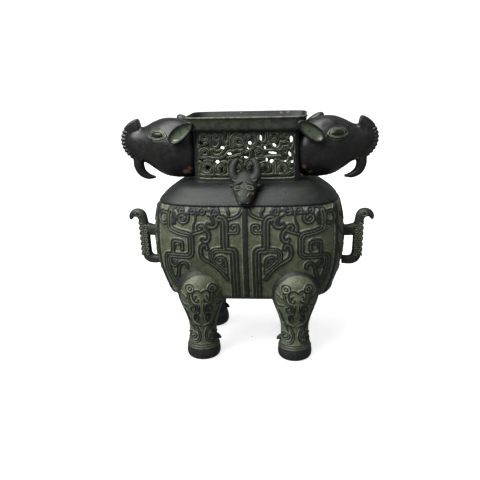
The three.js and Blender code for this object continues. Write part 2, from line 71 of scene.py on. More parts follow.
# Mesh helpers
def add_mesh(name, points, faces, fields=None):
    """A smooth mesh from points in mm and arrays of quads or triangles, with numbers per point."""
    faces = [np.asarray(f, np.int64) for f in faces if len(f)]
    loops = np.concatenate([f.ravel() for f in faces]).astype(np.int32)
    sizes = np.concatenate([np.full(len(f), f.shape[1]) for f in faces])
    starts = np.concatenate([[0], np.cumsum(sizes)[:-1]]).astype(np.int32)
    mesh = bpy.data.meshes.new(name)
    mesh.vertices.add(len(points))
    mesh.vertices.foreach_set("co", (np.asarray(points) * 0.001).astype(np.float32).ravel())
    mesh.loops.add(len(loops))
    mesh.loops.foreach_set("vertex_index", loops)
    mesh.polygons.add(len(sizes))
    mesh.polygons.foreach_set("loop_start", starts)
    mesh.update(calc_edges=True)
    mesh.validate()
    for key, values in (fields or {}).items():
        layer = mesh.attributes.new(key, "FLOAT", "POINT")
        layer.data.foreach_set("value", np.asarray(values, np.float32))
    mesh.shade_smooth()
    obj = bpy.data.objects.new(name, mesh)
    bpy.context.scene.collection.objects.link(obj)
    return obj


def grid_quads(rows, columns, wrap=False, first=0, flip=False):
    """Quads of a grid of points; wrap joins its last column to its first."""
    i = np.arange(rows - 1)[:, None]
    j = np.arange(columns if wrap else columns - 1)[None, :]
    a = i * columns + j
    b = i * columns + (j + 1) % columns
    quads = np.stack([a, b, b + columns, a + columns], -1).reshape(-1, 4) + first
    return quads[:, ::-1] if flip else quads


def circle(count):
    """Even angles of a full turn."""
    return np.linspace(0, 2 * math.pi, count, endpoint=False)


def spline(keys, count):
    """Catmull-Rom curve through the rows of keys, sampled evenly per span."""
    keys = np.asarray(keys, float)
    longer = np.vstack([2 * keys[0] - keys[1], keys, 2 * keys[-1] - keys[-2]])
    t = np.linspace(0, len(keys) - 1, count)
    k = np.minimum(t.astype(int), len(keys) - 2)
    u = (t - k)[:, None]
    p0, p1, p2, p3 = (longer[k + i] for i in range(4))
    return 0.5 * (
        2 * p1 + (p2 - p0) * u + (2 * p0 - 5 * p1 + 4 * p2 - p3) * u**2 + (3 * p1 - p0 - 3 * p2 + p3) * u**3
    )


def ramp(value, low, high):
    """Smooth rise from 0 at low to 1 at high."""
    t = np.clip((value - low) / (high - low), 0, 1)
    return t * t * (3 - 2 * t)


# Drawn lines
def cut_corners(line, passes, share):
    """Rounds the corners of a line and keeps its ends."""
    line = np.asarray(line, float)
    for _ in range(passes):
        a, b = line[:-1], line[1:]
        inner = np.stack([a + (b - a) * share, b - (b - a) * share], 1).reshape(-1, 2)
        line = np.vstack([line[:1], inner[1:-1], line[-1:]])
    return line


def arc_line(x, z, radius, start, turns, end_share):
    """A spiral of given turns whose radius shrinks to end_share; start is in degrees, 0 at +x, up is 90."""
    steps = 26
    t = np.linspace(0, 1, max(6, int(steps * abs(turns)) + 1))
    a = math.radians(start) + 2 * math.pi * turns * t
    r = radius * (1 - (1 - end_share) * t)
    return np.stack([x + r * np.cos(a), z + r * np.sin(a)], 1)


class Drawing:
    """Strokes of given widths on a flat sheet."""

    def __init__(self):
        self.strokes = []

    def line(self, width, points, grooves=1, mirror=True, rounding=2, share=0.25):
        points = cut_corners(points, rounding, share) if rounding else np.asarray(points, float)
        self.strokes.append((points, width, grooves))
        if mirror:
            self.strokes.append((points * [-1, 1], width, grooves))

    def spiral(self, width, x, z, radius, start, turns, end_share, grooves=0, mirror=True):
        self.line(width, arc_line(x, z, radius, start, turns, end_share), grooves, mirror, 0)

    def measure(self, x, z):
        """Distance inside the nearest stroke's edge, distance to a groove's middle, and the way outward."""
        shape = x.shape
        p = np.stack([x.ravel(), z.ravel()], 1)
        edge = np.full(len(p), -9.0)
        groove = np.full(len(p), 9.0)
        towards = np.zeros((len(p), 2))
        for points, width, grooves in self.strokes:
            reach = width / 2 + 3.0
            low, high = points.min(0) - reach, points.max(0) + reach
            near = np.flatnonzero(((p >= low) & (p <= high)).all(1))
            if not len(near):
                continue
            q = p[near]
            best = np.full(len(near), 1e9)
            foot = np.zeros((len(near), 2))
            for a, b in zip(points[:-1], points[1:]):
                ab = b - a
                t = np.clip(((q - a) @ ab) / max(ab @ ab, 1e-9), 0, 1)
                f = a + t[:, None] * ab
                d = np.hypot(*(q - f).T)
                closer = d < best
                best[closer] = d[closer]
                foot[closer] = f[closer]
            inside = width / 2 - best
            if grooves == 2:
                g = np.abs(best - width * 0.185)
            elif grooves == 1:
                g = best
            else:
                g = np.full(len(best), 9.0)
            better = inside > edge[near]
            chosen = near[better]
            edge[chosen] = inside[better]
            groove[chosen] = g[better]
            away = (q - foot)[better]
            towards[chosen] = away / np.maximum(np.hypot(*away.T), 1e-6)[:, None]
        return edge.reshape(shape), groove.reshape(shape), towards.reshape(*shape, 2)


def relief_height(edge, groove, height, slope=0.75, depth=0.8, width=0.75):
    """Rounded-off bands with thin channels."""
    top = ramp(edge, -0.45, slope - 0.2)
    channel = 1 - ramp(groove, width * 0.35, width * 1.25)
    return height * top - height * depth * channel * ramp(edge, 0.3, 1.0)


# Belly
def belly_size(z):
    half_width = BELLY_HALF_WIDTH * np.sqrt(1 - ((z - BELLY_WIDEST) / BELLY_ARC) ** 2)
    return half_width, BELLY_HALF_DEPTH - (BELLY_HALF_WIDTH - half_width) * 0.8


def body_stations(step):
    """Rows of half width, half depth, height and squareness from the underside to the neck."""
    rows = []
    corner_top = UNDERSIDE + UNDERSIDE_CORNER
    w, d = belly_size(corner_top)
    for share in (0.02, 0.3, 0.6, 0.85):
        rows.append([(w - UNDERSIDE_CORNER) * share, (d - UNDERSIDE_CORNER) * share, UNDERSIDE, BODY_SQUARE])
    for turn in np.linspace(0, math.pi / 2, 9)[:-1]:
        inset = UNDERSIDE_CORNER * (1 - math.sin(turn))
        height = UNDERSIDE + UNDERSIDE_CORNER * (1 - math.cos(turn))
        rows.append([w - inset, d - inset, height, BODY_SQUARE])
    for z in np.arange(corner_top, SHOULDER, step):
        rows.append([*belly_size(z), z, BODY_SQUARE])
    w, d = belly_size(SHOULDER)

    def size(inward):
        return w + (NECK_HALF_WIDTH - w) * inward, d + (NECK_HALF_DEPTH - d) * inward

    a, b = size(0.08)
    lip = 0.7
    for t in np.linspace(0, 1, 7):
        rows.append([w + (a - w) * t, d + (b - d) * t, SHOULDER + (LEDGE - lip - SHOULDER) * t, BODY_SQUARE])
    for t in np.linspace(0.2, 1, 4):
        rows.append([a + LEDGE_OUT * t, b + LEDGE_OUT * t, LEDGE - lip + lip * t, BODY_SQUARE])
    keys = [(0.08, 0.19), (0.24, 0.5), (0.52, 0.82), (0.77, 0.95), (1, 1)]
    for inward, upward in spline(keys, 26)[1:]:
        height = SHOULDER + (NECK_FOOT - SHOULDER) * upward
        square = BODY_SQUARE + (NECK_SQUARE - BODY_SQUARE) * inward**2
        bulge = LEDGE_OUT * (1 - ramp(inward, 0.08, 0.35))
        a, b = size(inward)
        rows.append([a + bulge, b + bulge, height, square])
    rows.append([NECK_HALF_WIDTH, NECK_HALF_DEPTH, NECK_FOOT + 1.5, NECK_SQUARE])
    return np.array(rows)


def superellipse(c, s, squareness):
    """Reach of a superellipse of half size 1 in the direction of a cosine and a sine."""
    return (np.abs(c) ** squareness + np.abs(s) ** squareness) ** (-1 / squareness)


def even_angles(shares, t, x, y):
    """Angles at shares of a curve's length, and that length; t are the angles of the points x, y."""
    length = np.concatenate([[0], np.cumsum(np.hypot(np.diff(x), np.diff(y)))])
    return np.interp(np.asarray(shares) * length[-1], length, t), length[-1]


def plan_angles(shares):
    """Angles at even arc length of the belly's widest plan; share 0 at -y, 0.25 at +x."""
    t = np.linspace(0, 2 * math.pi, 20001)
    c, s = np.sin(t), -np.cos(t)
    r = superellipse(c, s, BODY_SQUARE)
    return even_angles(shares, t, BELLY_HALF_WIDTH * c * r, BELLY_HALF_DEPTH * s * r)


def plan_points(angles, rows):
    c, s = np.sin(angles)[None, :], -np.cos(angles)[None, :]
    r = superellipse(c, s, rows[:, 3:4])
    x = rows[:, 0:1] * c * r
    y = rows[:, 1:2] * s * r
    return np.stack([x, y, np.broadcast_to(rows[:, 2:3], x.shape)], -1)


def grid_normals(points):
    du = np.gradient(points, axis=1)
    dv = np.gradient(points, axis=0)
    n = np.cross(du, dv)
    return n / np.maximum(np.linalg.norm(n, axis=-1, keepdims=True), 1e-9)


def belly_drawing():
    """Right half of the two facing dragons; x from the middle, z as drawn on an upright sheet."""
    d = Drawing()
    wide, body = 8.8, 10.8
    # outer dragon: ribbon, square hook, tail behind the cheek of the leg
    d.line(wide, [
        (88.5, 193), (90.2, 188), (90.2, 172.5), (80, 168.4), (64.4, 165.6), (64.4, 138.6), (94, 138.2),
        (96, 134), (95.8, 120), (91.5, 107), (85, 95),
    ], 2, share=0.14)
    d.line(5.9, [(87.4, 141), (87.4, 157.6), (75.6, 157), (75.6, 147)], 1, share=0.16)
    d.line(1.6, [(79.6, 152.4), (83.4, 152.4), (83.4, 147.6)], 0)
    d.spiral(6.1, 73.9, 185.8, 6.6, 150, 1.05, 0.42, 1)
    d.line(3.0, [(66.4, 190), (69, 192.6), (71.6, 189.6)], 0)
    for x, z in ((75.8, 194.2), (62.4, 194.0), (50.2, 193.4), (36, 193.0)):
        d.spiral(2.5, x, z, 3.6, 0, 1.0, 1.0)
        d.line(2.8, [(x, z - 0.1), (x, z + 0.1)], 0, rounding=0)
    d.line(3.0, [(80, 197.4), (85, 197), (88.4, 191)], 0)
    d.line(4.5, [(84.6, 191), (83, 184.6), (84.6, 179)], 0)
    d.line(5.1, [(93, 190.4), (100.6, 191.6), (103.8, 186), (103.2, 179.6), (98.4, 176.4), (94.6, 178.6)], 1)
    d.line(4.3, [(102.4, 190), (104.6, 196)], 0)
    d.line(5.5, [(91.6, 135.6), (92.6, 129), (89.4, 123.6), (84.6, 124.6), (84, 129.2), (87.6, 130)], 1)
    d.line(5.5, [
        (85.4, 105), (82.8, 113), (81.6, 121.4), (79.6, 127.4), (74.6, 130.4), (71, 127.8), (70.8, 123.8),
    ], 1)
    # branch towards the middle, with its crescent
    d.line(5.7, [
        (62, 167.2), (55, 169.2), (50.4, 170.6), (47.8, 173.6), (49.2, 177.4), (53.4, 178), (55.6, 174.8),
        (53.2, 172.6),
    ], 1)
    d.line(6.9, [(48, 174.2), (43.6, 170), (42.4, 164.4), (44, 159.4), (48.2, 157.6), (50.2, 160.4)], 1)
    d.line(3.0, [(58.4, 196), (57.4, 184), (61.4, 177), (60.4, 169)], 0)
    # inner dragon
    d.line(2.8, [(31, 189), (29.6, 194), (33, 198.2)], 0)
    d.line(2.8, [(55, 190), (55.4, 195), (52, 198.4)], 0)
    d.line(2.8, [(39, 196.6), (43, 194.6), (46.4, 197)], 0)
    d.line(2.8, [(30, 188.4), (38, 187.6), (44, 189.4)], 0)
    d.line(6.9, [(36, 188), (33.2, 182.6), (34.4, 177.4), (39.4, 175.2), (44, 177.6)], 1)
    d.line(4.3, [(39.4, 186.8), (37.6, 182.4), (40, 179.2), (44, 180.4)], 0)
    d.line(body, [
        (31, 187), (26.4, 186), (24, 182), (24, 147.6), (15, 147.4), (13.2, 144), (13.2, 77),
    ], 2, share=0.13)
    d.line(5.3, [(20, 185.4), (12, 187.2), (6, 191), (3.4, 197)], 1)
    d.line(4.5, [(19.6, 187), (18.6, 192), (21.4, 197)], 0)
    d.line(4.9, [(19.6, 168.8), (8.4, 168.8), (8.2, 178.2), (15, 178.2), (15, 174.6)], 1, share=0.18)
    d.line(7.4, [
        (22, 147.4), (36.4, 147.2), (40.6, 143), (40.4, 137), (34.4, 129.6), (24.6, 120.6),
    ], 2, share=0.16)
    d.line(5.1, [
        (23.6, 117), (23.4, 133), (26.6, 138.4), (33, 138.6), (35.2, 134), (32, 130.2), (28.8, 132),
    ], 1)
    d.line(6.3, [
        (45.6, 149), (46.4, 154), (50.6, 154), (53.2, 150), (53.2, 139.4), (50, 135.4), (39.6, 129.2),
        (29.4, 119.6), (23, 108.6),
    ], 1)
    # middle bar and border lines
    d.line(6.2, [(0, 200), (0, 76)], 0, mirror=False, rounding=0)
    d.line(2.6, [(0, 199.6), (105, 199.6)], 0, rounding=0)
    d.line(3.2, [(105.6, 196), (106.8, 170), (106.6, 130), (101, 100), (93, 82)], 0)
    d.line(2.8, [(0, 77.4), (93, 77.4)], 0, rounding=0)
    return d


def end_drawing():
    """Plainer scrolls for the end faces, across y and z."""
    d = Drawing()
    middle, radius = 24, 10
    for z, turn in ((174, 1), (150, -1), (124, 1), (98, -1)):
        d.spiral(5.5, middle, z, radius, 90 * turn, 1.25 * turn, 0.3, 1)
        d.line(5.5, [(middle + radius, z), (40, z + 4), (46, z + 10), (47, z + 16)], 1)
    d.line(4.5, [(0, 188), (0, 78)], 1, mirror=False, rounding=0)
    return d


belly_lines = belly_drawing()
end_lines = end_drawing()
# The sheet of the belly's drawing is laid on a face that is lower by this share
SHEET_STRETCH = 1.03


def on_sheet(z):
    return UNDERSIDE + (z - UNDERSIDE) * SHEET_STRETCH


def raise_relief(points, normals, drawing, height, mask, snap):
    """Moves grid points to the drawing's outlines, then outward by the relief."""
    flat_x = points[..., 0].copy()
    edge, groove, away = drawing.measure(flat_x, on_sheet(points[..., 2]))
    if snap:
        for target in (0.0, 0.75):
            off = edge - target
            close = (np.abs(off) < snap) & (mask > 0.5) & (edge > -1)
            shift = np.where(close, off, 0.0)[..., None] * away
            points[..., 0] += shift[..., 0]
            points[..., 2] += shift[..., 1]
            flat_x = flat_x + shift[..., 0]
            edge, groove, away = drawing.measure(flat_x, on_sheet(points[..., 2]))
            snap *= 0.6
    rise = relief_height(edge, groove, height) * mask
    return points + normals * rise[..., None], edge, groove


def make_belly(name, side, columns_face, columns_end, step, detail):
    """Half of the body, from the middle of one end face to the other, on one side of y = 0."""
    _, around = plan_angles([0])
    face_half, end_half = BELLY_HALF_WIDTH / around, 0.25
    shares = np.concatenate([
        np.linspace(-end_half, -face_half, columns_end, endpoint=False),
        np.linspace(-face_half, face_half, columns_face, endpoint=False),
        np.linspace(face_half, end_half, columns_end + 1),
    ])
    angles, _ = plan_angles(np.mod(shares, 1.0))
    angles = np.where(shares < 0, angles - 2 * math.pi, angles)
    rows = body_stations(step)
    points = plan_points(angles, rows)
    normals = grid_normals(points)
    z = points[..., 2]
    zone = ramp(z, PATTERN_FOOT, PATTERN_FOOT + 2) * (1 - ramp(z, LEDGE - 1.6, LEDGE - 0.9))
    front = zone * (1 - ramp(np.abs(points[..., 0]), FACE_REACH - 1, FACE_REACH + 0.5))
    height, snap = (RELIEF, 0.34) if detail else (RELIEF * 0.9, 0)
    points, edge, groove = raise_relief(points, normals, belly_lines, height, front, snap)
    y = points[..., 1]
    ends = zone * ramp(np.abs(points[..., 0]), FACE_REACH, FACE_REACH + 2)
    ends = ends * (1 - ramp(np.abs(y), END_REACH, END_REACH + 4))
    end_edge, end_groove, _ = end_lines.measure(np.abs(y), z - LIFT)
    points = points + normals * (relief_height(end_edge, end_groove, 0.9, 1.2, 0.6, 0.9) * ends)[..., None]
    on_end = ends > front
    edge = np.where(on_end, end_edge, edge)
    groove = np.where(on_end, end_groove, groove)
    facing = [1, 1, 1] if side < 0 else [-1, -1, 1]
    outer = (points * facing).reshape(-1, 3)
    # inner wall, coarser
    inner_rows = rows[[0, 2, *range(4, len(rows) - 3, 6), len(rows) - 1]].copy()
    inner_rows[:, :2] = np.maximum(inner_rows[:, :2] - WALL, 0.2)
    inner_rows[:, 2] += WALL * (1 - ramp(inner_rows[:, 2], UNDERSIDE, UNDERSIDE + 14))
    inner = plan_points(angles[::4], inner_rows) * facing
    inner_count, inner_columns = inner.shape[:2]
    faces = [
        grid_quads(*points.shape[:2]),
        grid_quads(inner_count, inner_columns, first=len(outer), flip=True),
    ]
    pad = np.zeros(inner_count * inner_columns)
    fields = {
        "edge": np.concatenate([edge.ravel(), pad - 3]),
        "groove": np.concatenate([groove.ravel(), pad + 9]),
        "pattern": np.concatenate([np.maximum(front, ends).ravel(), pad]),
        "ground": np.concatenate([zone.ravel(), pad + 0.35]),
    }
    return add_mesh(name, np.vstack([outer, inner.reshape(-1, 3)]), faces, fields)


# Neck
# Spirals: middle x and z, radius, start in degrees, turns, end share, width
NECK_SPIRALS = [
    (-49.8, 272.8, 6.7, 215, -1.5, 0.3, 3.2), (-34.4, 271.5, 5.5, 150, -1.2, 0.45, 3.0),
    (-8.6, 267, 9, 230, -1.7, 0.25, 3.4), (6.2, 267.4, 9, 240, -1.35, 0.5, 3.4),
    (32.3, 271.7, 5.5, 200, -1.1, 0.5, 3.0), (47.4, 272.7, 5.5, 190, -1.2, 0.3, 3.0),
    (-49.4, 254, 5.5, 200, -1.3, 0.4, 3.0), (15.9, 252.1, 5.5, 150, -1.2, 0.45, 3.0),
    (45.8, 254.7, 5.2, 200, -1.2, 0.3, 3.0), (-47.1, 235.7, 8.3, 120, 1.5, 0.32, 3.4),
    (-29.9, 234.7, 6.9, 60, 1.4, 0.35, 3.2), (-11.7, 235.7, 7.6, 120, -1.4, 0.35, 3.2),
    (6.2, 236.1, 8.1, 60, 1.4, 0.35, 3.2), (22.8, 236, 6.4, 120, -1.3, 0.4, 3.2),
    (43.2, 235.2, 6.9, 120, -1.4, 0.35, 3.2), (53.6, 236.9, 5.5, 60, 1.2, 0.4, 3.0),
]
# Ribs: width, then points
NECK_RIBS = [
    (3.0, (-56.2, 261.8), (-51.4, 263.7), (-45.9, 265.5), (-42.8, 269.2), (-42.4, 280.3)),
    (2.8, (-58.6, 262.4), (-58.7, 270.6), (-56.7, 277.6), (-51.8, 280.8), (-44.7, 280.4)),
    (2.8, (-42.3, 268.1), (-41.3, 262.2), (-37.2, 259.3), (-32.4, 261.5), (-31, 266.2), (-28.5, 271.4),
    (-28.2, 279.5)),
    (2.8, (-27.1, 279.5), (-26.1, 273.7), (-26.8, 267.9), (-23.4, 264.1), (-19.9, 267.8), (-19.4, 274.8),
    (-20.6, 280)),
    (2.8, (-17.6, 260.7), (-18.1, 270.1), (-13.6, 275.6), (-7.1, 277.4), (-0.7, 275.7)),
    (2.8, (-0.5, 260.5), (-0.3, 269.8), (3.4, 276.2), (10.5, 278.5), (15.1, 276)),
    (2.8, (10.1, 259.2), (3, 255.5), (-3, 253.2), (-7, 256.3), (-10.5, 256.4)),
    (2.6, (16.3, 278.9), (15.5, 270.8), (17.8, 265.2), (22.4, 265.1), (24.8, 269.5), (24.4, 278.8)),
    (2.8, (27.1, 278.7), (26.9, 269.5), (30.1, 265.3), (36, 265.6), (38.3, 269.8), (38.4, 278.6)),
    (2.6, (28.5, 263.1), (31.8, 258.7), (37.1, 257.7), (40.6, 260.7), (41.2, 265.8)),
    (2.8, (41.3, 276.2), (46.5, 278.9), (52.3, 277.2), (56.9, 270.8), (57.5, 263.3), (54, 258.1)),
    (2.6, (41.8, 264.6), (46.5, 266.4), (51.1, 263.8), (49.9, 259.9), (44.1, 260.4)),
    (2.8, (-57, 259.4), (-57.2, 249.3), (-52, 247.3), (-43.6, 248.4)),
    (3.0, (-41.4, 257), (-39.4, 251.5), (-34, 250), (-28.4, 252.8), (-25.4, 258.4), (-21.7, 261.7)),
    (2.4, (-39.1, 258), (-34.4, 255.5), (-30.2, 257.3)),
    (2.8, (-42.4, 247.5), (-32.9, 246.7), (-24.4, 250.1), (-20.7, 256), (-14.8, 255.2), (-11.2, 257.1)),
    (2.8, (-22.1, 247.7), (-15.6, 248.4), (-10.7, 251.7), (-5.4, 250.6), (-4.5, 257)),
    (2.8, (-4.8, 248), (0.4, 244.9), (5.7, 248.2), (5.8, 254.5)),
    (2.8, (6.3, 245.1), (12.3, 245.7), (20.5, 246.6), (24.1, 248.7), (39.4, 249)),
    (2.8, (10.7, 260.4), (16, 259.4), (20.4, 255.5), (25.8, 256.2), (39.4, 255.8)),
    (2.4, (19.6, 261.9), (25.4, 260.9), (26.6, 266)),
    (2.8, (41.7, 248.7), (42.5, 257), (47.6, 259.2), (54, 255.7), (56.9, 249.3), (57.6, 242.2)),
    (2.8, (-59.5, 242.9), (-52.2, 242.6), (-46.1, 245.1), (-39.5, 242.6)),
    (2.6, (-38.8, 228.1), (-37.7, 238.3), (-39.6, 244.4), (-36.5, 246.9)),
    (2.6, (-30.7, 242.3), (-24.6, 243.7), (-21.2, 239.4), (-21, 229.8)),
    (2.8, (-19.8, 244.1), (-12.7, 245.3), (-5.6, 243.4), (-2.1, 238), (-2.3, 228.4)),
    (2.8, (-0.8, 242.2), (5.1, 245.1), (12.2, 243.3), (15.7, 237.8), (15.5, 228.3)),
    (2.6, (17.5, 240.8), (21.1, 241.4), (27, 240.6), (31.7, 238.9), (33.4, 232.9), (32.6, 226.9)),
    (2.8, (34.6, 244.8), (36.5, 237.6), (36.2, 228.1)),
    (2.4, (35.8, 248.3), (38.2, 244.3), (44, 240.7), (50.4, 243.9), (50.8, 248.1)),
    (2.6, (48.2, 228), (52.2, 229.9), (58.6, 232.7), (59.7, 239.8)),
    (2.6, (-60.1, 228.9), (-49.3, 225.9), (-38.4, 227.7)), (2.6, (-38.4, 227.7), (-28.8, 226), (-20.3, 228)),
    (2.6, (-2.4, 227.2), (7.2, 225.9), (15.5, 227.7)), (2.6, (15.5, 227.7), (23.8, 226.8), (33.3, 228.1)),
    (2.6, (35.7, 228.1), (45.2, 226.8), (56.9, 229.1)),
]
# Openings: middle, half sizes, tilt in degrees; light passes through the first ones
LIT_HOLES = [
    (-27.7, 259.6, 2.6, 2.1, 0), (-19.6, 252.5, 3.3, 1.6, -8), (-34.2, 243.1, 2.9, 2.3, 10),
    (4.7, 265.1, 2.2, 2.5, 0), (2.5, 258.6, 1.8, 1.1, -30), (17.8, 270.8, 1.4, 3.7, 0),
    (33.6, 262.2, 3, 1.6, -40), (22.5, 259.4, 1.2, 2.1, 0), (53.4, 269.1, 1.9, 4, 0),
    (31.5, 253.1, 5.7, 1.5, -6), (51.7, 251.3, 1.5, 3.4, 20), (24, 244.9, 1.8, 2.5, 0),
    (30.2, 243.3, 2.3, 2.4, 0), (46.4, 243.1, 1.5, 1.1, 0), (54.4, 242.2, 1.5, 1.9, 0),
    (-0.7, 248.1, 3, 1.3, -8),
]
DARK_HOLES = [
    (-45.9, 235.8, 3.3, 2.5, 35), (-30.2, 232.7, 3.4, 2.3, -20), (-11.8, 233.3, 2.2, 2.4, 0),
    (6.7, 232.7, 2.2, 2.5, 0), (21.5, 233.3, 4.4, 1.5, 0), (42.8, 233.1, 3.2, 2.1, 0),
    (-49.1, 254.5, 1.8, 1.4, 0), (-53, 265.1, 2.9, 1.9, 20), (-53.8, 245.3, 3, 1.5, -10),
    (-24.3, 276.5, 2, 1.5, 40), (21.7, 271.2, 1.4, 3.4, 0), (-22.6, 271, 1.1, 1.8, 0),
    (-0.8, 254.1, 2.1, 1.9, 0), (-2.6, 242.9, 1.5, 1.3, 0), (15.9, 253.7, 2.1, 1.1, 0),
    (-33.9, 271.9, 1.5, 1.1, 0), (-49.2, 272.4, 1.3, 1, 0), (54.1, 236.1, 1.6, 1.6, 0),
    (-8.1, 265.3, 1.3, 1.3, 0), (-37.1, 263.8, 1.9, 1.1, 0), (-39.7, 276.2, 0.9, 1.9, 0),
    (-16, 278.4, 1.4, 1.1, 0), (47.9, 268.5, 1.4, 1, 0), (37.7, 242.9, 1.2, 1.6, 0),
    (-21.6, 239.9, 1.2, 2, 0), (12.4, 252.7, 1.2, 2, 0), (-12.1, 246.9, 1.9, 0.9, 0),
    (-42.3, 243.9, 1.4, 1, 0),
]


def neck_drawing():
    d = Drawing()
    for *shape, width in NECK_SPIRALS:
        d.spiral(width, *shape, 1, False)
    for width, *points in NECK_RIBS:
        d.line(width, points, 1, mirror=False)
    # frame of the window
    x, low, high = WINDOW_HALF, NECK_FOOT + 2.2, RIM_FOOT + 1
    d.line(4.4, [(0, low), (x - 5, low), (x - 1.5, low + 1.5), (x, low + 5), (x, high)], 0)
    d.line(3.4, [(0, high), (x, high)], 0, rounding=0)
    return d


def lit_behind(hole):
    """The opening of the back wall, as seen from behind, in the camera's line with one of the front wall."""
    x, z, across, tall, tilt = hole
    spread, shift, drop, wider = 1.091, 5.5, 32.9, 1.2
    return -(spread * x - shift), spread * z - drop, across * wider, tall * wider, -tilt


def holes_depth(x, z, holes):
    """How deep inside the nearest opening a point is, in mm; below 0 outside."""
    depth = np.full(x.shape, -9.0)
    for cx, cz, across, tall, tilt in holes:
        a = math.radians(tilt)
        u = (x - cx) * math.cos(a) + (z - cz) * math.sin(a)
        v = -(x - cx) * math.sin(a) + (z - cz) * math.cos(a)
        uneven = 0.9 + 0.16 * np.sin(3 * np.arctan2(v, u) + cx) * np.cos(cz + np.arctan2(v, u))
        depth = np.maximum(depth, (uneven - np.sqrt((u / across) ** 2 + (v / tall) ** 2)) * min(across, tall))
    return depth


neck_lines = neck_drawing()

# Corners of a cell are 0..3 from lower left, counter-clockwise; 4..7 are the cuts on the sides 01, 12, 23, 30
CELL_CASES = {
    1: [(0, 4, 7)], 2: [(1, 5, 4)], 3: [(0, 1, 5, 7)], 4: [(2, 6, 5)], 5: [(0, 4, 7), (2, 6, 5)],
    6: [(1, 2, 6, 4)], 7: [(0, 1, 2), (0, 2, 6), (0, 6, 7)], 8: [(3, 7, 6)], 9: [(0, 4, 6, 3)],
    10: [(1, 5, 4), (3, 7, 6)], 11: [(0, 1, 5), (0, 5, 6), (0, 6, 3)], 12: [(2, 3, 7, 5)],
    13: [(0, 4, 5), (0, 5, 2), (0, 2, 3)], 14: [(1, 2, 3), (1, 3, 7), (1, 7, 4)], 15: [(0, 1, 2, 3)],
}


def contour_sheet(xs, zs, edge):
    """The part of a grid where edge > 0: flat points, polygons and the border's segments."""
    rows, columns = edge.shape
    gx, gz = np.meshgrid(xs, zs)
    corner = np.stack([gx.ravel(), gz.ravel()], 1)

    def cut(a, b, pa, pb):
        t = np.clip(a / np.where(np.abs(a - b) < 1e-9, 1e-9, a - b), 0.08, 0.92)
        return pa + (pb - pa) * t[:, None]

    grid = np.arange(rows * columns).reshape(rows, columns)
    ha, hb = grid[:, :-1].ravel(), grid[:, 1:].ravel()
    va, vb = grid[:-1].ravel(), grid[1:].ravel()
    e = edge.ravel()
    across = cut(e[ha], e[hb], corner[ha], corner[hb])
    upward = cut(e[va], e[vb], corner[va], corner[vb])
    points = np.vstack([corner, across, upward])
    h_first, v_first = len(corner), len(corner) + len(across)
    h_id = h_first + np.arange(len(ha)).reshape(rows, columns - 1)
    v_id = v_first + np.arange(len(va)).reshape(rows - 1, columns)
    ids = np.stack([
        grid[:-1, :-1], grid[:-1, 1:], grid[1:, 1:], grid[1:, :-1],
        h_id[:-1], v_id[:, 1:], h_id[1:], v_id[:, :-1],
    ], -1).reshape(-1, 8)
    inside = edge > 0
    case = (inside[:-1, :-1] * 1 + inside[:-1, 1:] * 2 + inside[1:, 1:] * 4 + inside[1:, :-1] * 8).ravel()
    triangles, quads, borders = [], [], []
    for number, polygons in CELL_CASES.items():
        chosen = ids[case == number]
        for polygon in polygons:
            (triangles if len(polygon) == 3 else quads).append(chosen[:, list(polygon)])
            cuts = [pair for pair in zip(polygon, polygon[1:]) if min(pair) > 3]
            borders.extend(chosen[:, list(pair)] for pair in cuts)
    triangles, quads, borders = np.vstack(triangles), np.vstack(quads), np.vstack(borders)
    used = np.unique(np.concatenate([triangles.ravel(), quads.ravel()]))
    renumber = np.full(len(points), -1)
    renumber[used] = np.arange(len(used))
    return points[used], renumber[triangles], renumber[quads], renumber[borders]


def neck_face_y(x):
    """Half depth of the neck at x."""
    share = np.maximum(1 - np.abs(x / NECK_HALF_WIDTH) ** NECK_SQUARE, 0) ** (1 / NECK_SQUARE)
    return NECK_HALF_DEPTH * share


def make_neck_panel(step, holes, loose_holes):
    """Pierced front wall, from the shoulder to the rim band, as points, faces and fields."""
    low, high = NECK_FOOT, RIM_FOOT + 0.5
    xs = np.linspace(-PANEL_HALF, PANEL_HALF, int(round(2 * PANEL_HALF / step)) + 1)
    zs = np.linspace(low, high, int(round((high - low) / step)) + 1)
    x, z = np.meshgrid(xs, zs)
    edge, _, _ = neck_lines.measure(x, z)
    solid = np.minimum(-holes_depth(x, z, holes), np.maximum(-holes_depth(x, z, loose_holes), edge - 0.5))
    solid = np.where((np.abs(x) > WINDOW_HALF - 1.2) | (z < low + 3) | (z > high - 2), 1.0, solid)
    flat, triangles, quads, borders = contour_sheet(xs, zs, solid)
    x, z = flat.T
    edge, groove, _ = neck_lines.measure(x, z)
    framed = (np.abs(x) > WINDOW_HALF - 0.2) | (z < low + 1.5) | (z > high - 1)
    edge = np.where(framed, np.maximum(edge, 1.5), edge)
    wall = neck_face_y(x)
    sunk = -2.5 * (1 - ramp(edge, -0.5, 0.5)) - 0.75 * (1 - ramp(groove, 0.2, 0.7)) * ramp(edge, 0.3, 1)
    front = np.stack([x, -(wall + sunk), z], 1)
    back = np.stack([x, -(wall - WALL), z], 1)
    n = len(flat)
    walls = np.stack([borders[:, 0], borders[:, 1], borders[:, 1] + n, borders[:, 0] + n], 1)
    faces = [triangles, quads, triangles[:, ::-1] + n, quads[:, ::-1] + n, walls]
    fields = {
        "edge": np.concatenate([edge - 0.75, np.full(n, 0.2)]),
        "groove": np.concatenate([groove, np.full(n, 9.0)]),
        "pattern": np.ones(2 * n),
        # Far from the ribs the sunk ground gets only a tenth of the green and keeps the dark colour: painted
        # shade for the deep gaps between the ribs
        "ground": np.concatenate([0.1 + 0.9 * ramp(edge, -0.5, -0.1), np.full(n, 0.3)]),
    }
    return np.vstack([front, back]), faces, fields


